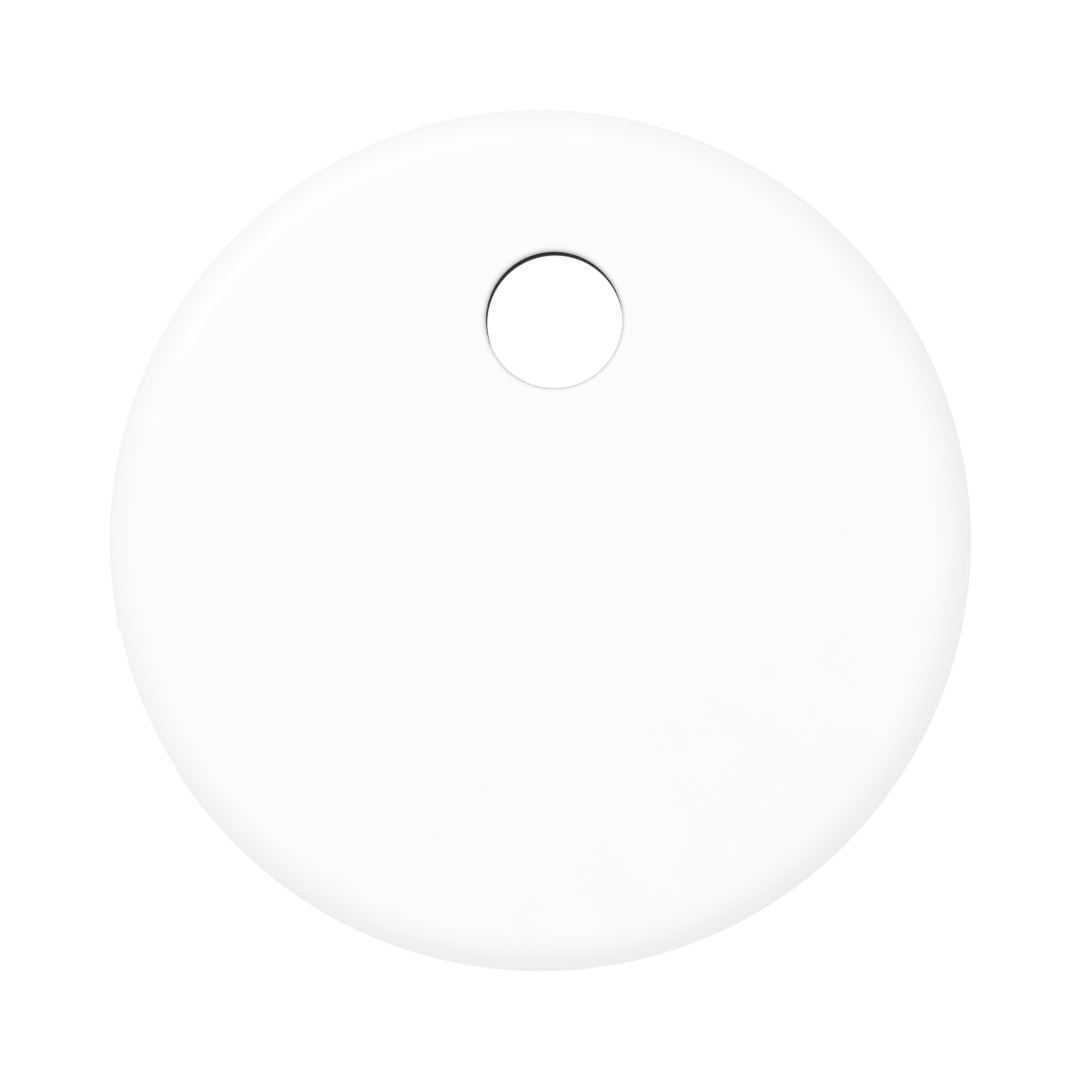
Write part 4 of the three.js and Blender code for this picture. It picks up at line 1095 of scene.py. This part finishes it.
# ---------------------------------------------------------------- coin cell
# A lithium coin cell: a stainless can turned over a cap, with a nylon seal between them and its
# rim rolled in. The can is the plus side and carries a stamped plus sign.

CELL_TOP = can_high.z / MM
CAN_BOTTOM = can_low.z / MM
cap_low, cap_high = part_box("battery_cap")
CAP_RADIUS = cap_high.x / MM
CAP_BOTTOM = cap_low.z / MM
CRIMP_INNER = CELL_RADIUS - 1.0
CELL_SHEET = 0.25
STAMP_DEPTH = 0.04
STAMP_TAPER = 0.96
STAMP_ARM, STAMP_BAR = 1.7, 0.4
STAMP_Y = CELL_Y + 5.2

# Stainless cup, deep drawn and tumbled: soft satin metal with a faint mottle.
cell_steel = finish(
    "stainless steel, drawn and tumbled", ("#CFCFCE", "#C3C3C2"), 0.3, 0.09, 0.0004, Metallic=1.0
)
can = turned(
    rounded([
        (CELL_RADIUS - 0.9, CELL_TOP, 0), (CELL_RADIUS, CELL_TOP, 0.32),
        (CELL_RADIUS, CAN_BOTTOM, 0.34), (CRIMP_INNER, CAN_BOTTOM, 0.1),
        (CRIMP_INNER, CAN_BOTTOM + CELL_SHEET, 0.04),
        (CELL_RADIUS - CELL_SHEET, CAN_BOTTOM + CELL_SHEET, 0.1),
        (CELL_RADIUS - CELL_SHEET, CELL_TOP - CELL_SHEET, 0.1), (0, CELL_TOP - CELL_SHEET, 0),
    ], 6),
    cell_steel, 180, (0, CELL_Y),
)
arm = [(STAMP_BAR, STAMP_BAR), (STAMP_BAR, STAMP_ARM), (-STAMP_BAR, STAMP_ARM)]
plus = []
for _ in range(4):  # each arm is the last one turned by a quarter
    plus += arm
    arm = [(-y, x) for x, y in arm]
stamp = bpy.data.meshes.new("stamp")
ring_count = len(plus)
stamp.from_pydata(
    [
        (x * share * MM, (y * share + STAMP_Y) * MM, (CELL_TOP - sunk) * MM)
        for share, sunk in ((1, 0), (STAMP_TAPER, STAMP_DEPTH))
        for x, y in plus
    ],
    [],
    [
        (i, (i + 1) % ring_count, ring_count + (i + 1) % ring_count, ring_count + i)
        for i in range(ring_count)
    ],
)
stamp.materials.append(cell_steel)
can_mesh = closed_up("battery_can", [can, stamp], (CELL_TOP, CELL_TOP - STAMP_DEPTH))
piece("battery_can_steel", can_mesh, "battery", "cell_steel", "battery_can")

cap = turned(
    rounded([
        (0, CAP_BOTTOM, 0), (CAP_RADIUS, CAP_BOTTOM, 0.18), (CAP_RADIUS, cap_high.z / MM, 0.08),
        (CAP_RADIUS - CELL_SHEET, cap_high.z / MM, 0.08),
        (CAP_RADIUS - CELL_SHEET, CAP_BOTTOM + CELL_SHEET, 0.1), (0, CAP_BOTTOM + CELL_SHEET, 0),
    ], 5),
    cell_steel, 160, (0, CELL_Y),
)
piece("battery_cap_steel", closed_up("cap", [cap]), "battery", "cell_steel", "battery_cap")

# Nylon ring, moulded: dark grey and satin where it shows between can and cap.
coat(finish("cell nylon, moulded", ("#30343A", "#3A3E44"), 0.5, 0.08, 0.003), "battery_seal")
# Lithium foil, pressed: a soft dull metal.
coat(
    finish("lithium foil, pressed", ("#A9ABAE", "#96989B"), 0.5, 0.2, 0.006, Metallic=1.0),
    "battery_anode",
)
# Polypropylene felt: white and fibrous.
coat(finish("polypropylene felt", ("#E4E3DD", "#D9D7CF"), 0.9, 0.08, 0.02), "battery_separator")
# Manganese dioxide, pressed powder: black and dry.
cathode_powder = finish("manganese dioxide, pressed", ("#2B2B2B", "#1F1F1F"), 0.9, 0.1, 0.02)
coat(cathode_powder, "battery_cathode")

# ---------------------------------------------------------------- front cover and foam pad
# The push-fit cover is also the button. Its skirt goes down inside the rear shell's rim, where
# five barbs catch in a groove. A post inside presses the switch, and a foam pad holds the cell.

INSIDE = SLEEVE_TOP  # the cover's inner face
FRONT_RIM = 3.375
SKIRT_OUTER = GASKET_OUTER
SKIRT_INNER = GASKET_INNER
SKIRT_BOTTOM = GASKET_TOP
THINNING = FRONT_RIM + RIM_WALL / 2
POST_RADIUS = 0.9
BARB_LOW, BARB_EDGE, BARB_TOP = 2.365, 2.515, 2.665
BARB_RADIUS = RIM_INNER - 0.03
BARB_ROOT = SKIRT_OUTER - 0.4
BARB_WIDTH = 5
BARB_STEPS = 12
POST_AT = (stem_at.x, stem_at.y)
POST_BOTTOM = plunger_high.z / MM + 0.02

edge_corners = [(TAG_RADIUS, 0, 0), (TAG_RADIUS, TAG_HEIGHT, EDGE_RADIUS), (0, TAG_HEIGHT, 0)]
cover_rim = turned(
    [(RIM_INNER - 1.0, INSIDE)]
    + rounded([
        (0, INSIDE, 0), (RIM_INNER, INSIDE, 0.7),
        (RIM_INNER, THINNING + RIM_INNER - SKIRT_INNER, 0.15),
        (SKIRT_INNER, THINNING, 0.15), (SKIRT_INNER, SKIRT_BOTTOM, 0.08),
        (SKIRT_OUTER - 0.2, SKIRT_BOTTOM, 0.05),
        (SKIRT_OUTER, SKIRT_BOTTOM + 0.2, 0.05), (SKIRT_OUTER, FRONT_RIM, 0.04),
        (TAG_RADIUS, FRONT_RIM, 0.1), (TAG_RADIUS, TAG_HEIGHT, 0),
    ], 6)[1:-1]
    + divided((TAG_RADIUS, FRONT_RIM + 0.1), (TAG_RADIUS, TAG_HEIGHT - EDGE_RADIUS), 16)
    + rounded(edge_corners, 16)[1:-1]
    + [(TAG_RADIUS - EDGE_RADIUS - SOFTENED, TAG_HEIGHT)],
    shell_abs, RIM_COLUMNS, evenness=EVENNESS,
)
cover_post = turned(
    rounded([
        (1.25, INSIDE, 0), (POST_RADIUS, INSIDE, 0.2), (POST_RADIUS, POST_BOTTOM, 0.1),
        (0, POST_BOTTOM, 0),
    ], 5),
    shell_abs, SMALL_COLUMNS, POST_AT,
)

# Each barb slopes below to ride in over the rim's edge and is flat on top to catch.
barb_profile = [
    (BARB_ROOT, BARB_LOW), (SKIRT_OUTER, BARB_LOW), (BARB_RADIUS, BARB_EDGE),
    (BARB_RADIUS, BARB_TOP), (BARB_ROOT, BARB_TOP),
]
half_sweep = BARB_WIDTH / SKIRT_OUTER / 2
points, faces = [], []
for step in range(BARB_STEPS + 1):
    angle = (step / BARB_STEPS * 2 - 1) * half_sweep
    cosine, sine = math.cos(angle), math.sin(angle)
    points += [(r * cosine * MM, r * sine * MM, z * MM) for r, z in barb_profile]
count = len(barb_profile)
for step in range(BARB_STEPS):
    for i in range(count):
        here, there = step * count + i, step * count + (i + 1) % count
        faces.append((here, there, there + count, here + count))
last_ring = range(BARB_STEPS * count, (BARB_STEPS + 1) * count)
faces += [tuple(range(count)), tuple(reversed(last_ring))]
barb = bpy.data.meshes.new("barb")
barb.from_pydata(points, [], faces)
barb.materials.append(shell_abs)
barbs = set_out(barb, [(0, 0, 0, degrees) for degrees in (20, 90, 160, 250, 310)], shell_abs)
# The mould's ejector pins leave faint round lands on the inner face.
land_corners = [(0, -0.03, 0), (0.9, -0.03, 0.015), (0.9, 0.05, 0), (0, 0.05, 0)]
ejector_mark = turned(rounded(land_corners, 2), shell_abs, 32)
ejector_places = [(*polar(14.6, degrees), INSIDE, 0) for degrees in (2, 52, 128, 180, 232, 308)]
ejector_places += [(*about_cell(7.2, degrees), INSIDE, 0) for degrees in (45, 135, 225, 315)]
ejector_marks = set_out(ejector_mark, ejector_places, shell_abs)
cover_parts = [cover_rim, mouth(TAG_HEIGHT, INSIDE, FRONT_RIM), cover_post, barbs, ejector_marks]
cover_mesh = closed_up("front_cover", cover_parts, (INSIDE, TAG_HEIGHT))
cut_pry_slot(cover_mesh)
piece("front_cover_moulding", cover_mesh, "front_cover", "shell_plastic", "front_cover")

# Polyurethane foam, die-cut: charcoal, soft, with open cells of about 0.2 mm.
pad_foam = finish(
    "polyurethane foam, die-cut", ("#47484B", "#36373A"), 0.95, 0.2, 0.06, Sheen_Weight=0.2
)
pad_low, pad_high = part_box("cell_pad")
PAD_RADIUS = pad_high.x / MM
pad = turned(
    rounded([
        (0, pad_low.z / MM, 0), (PAD_RADIUS, pad_low.z / MM, 0.08),
        (PAD_RADIUS, pad_high.z / MM, 0.02), (0, pad_high.z / MM, 0),
    ], 3),
    pad_foam, 72, (0, CELL_Y),
)
pad = piece("cell_pad_foam", closed_up("pad", [pad]), "front_cover", "pad_foam", "cell_pad")
squeeze(pad)
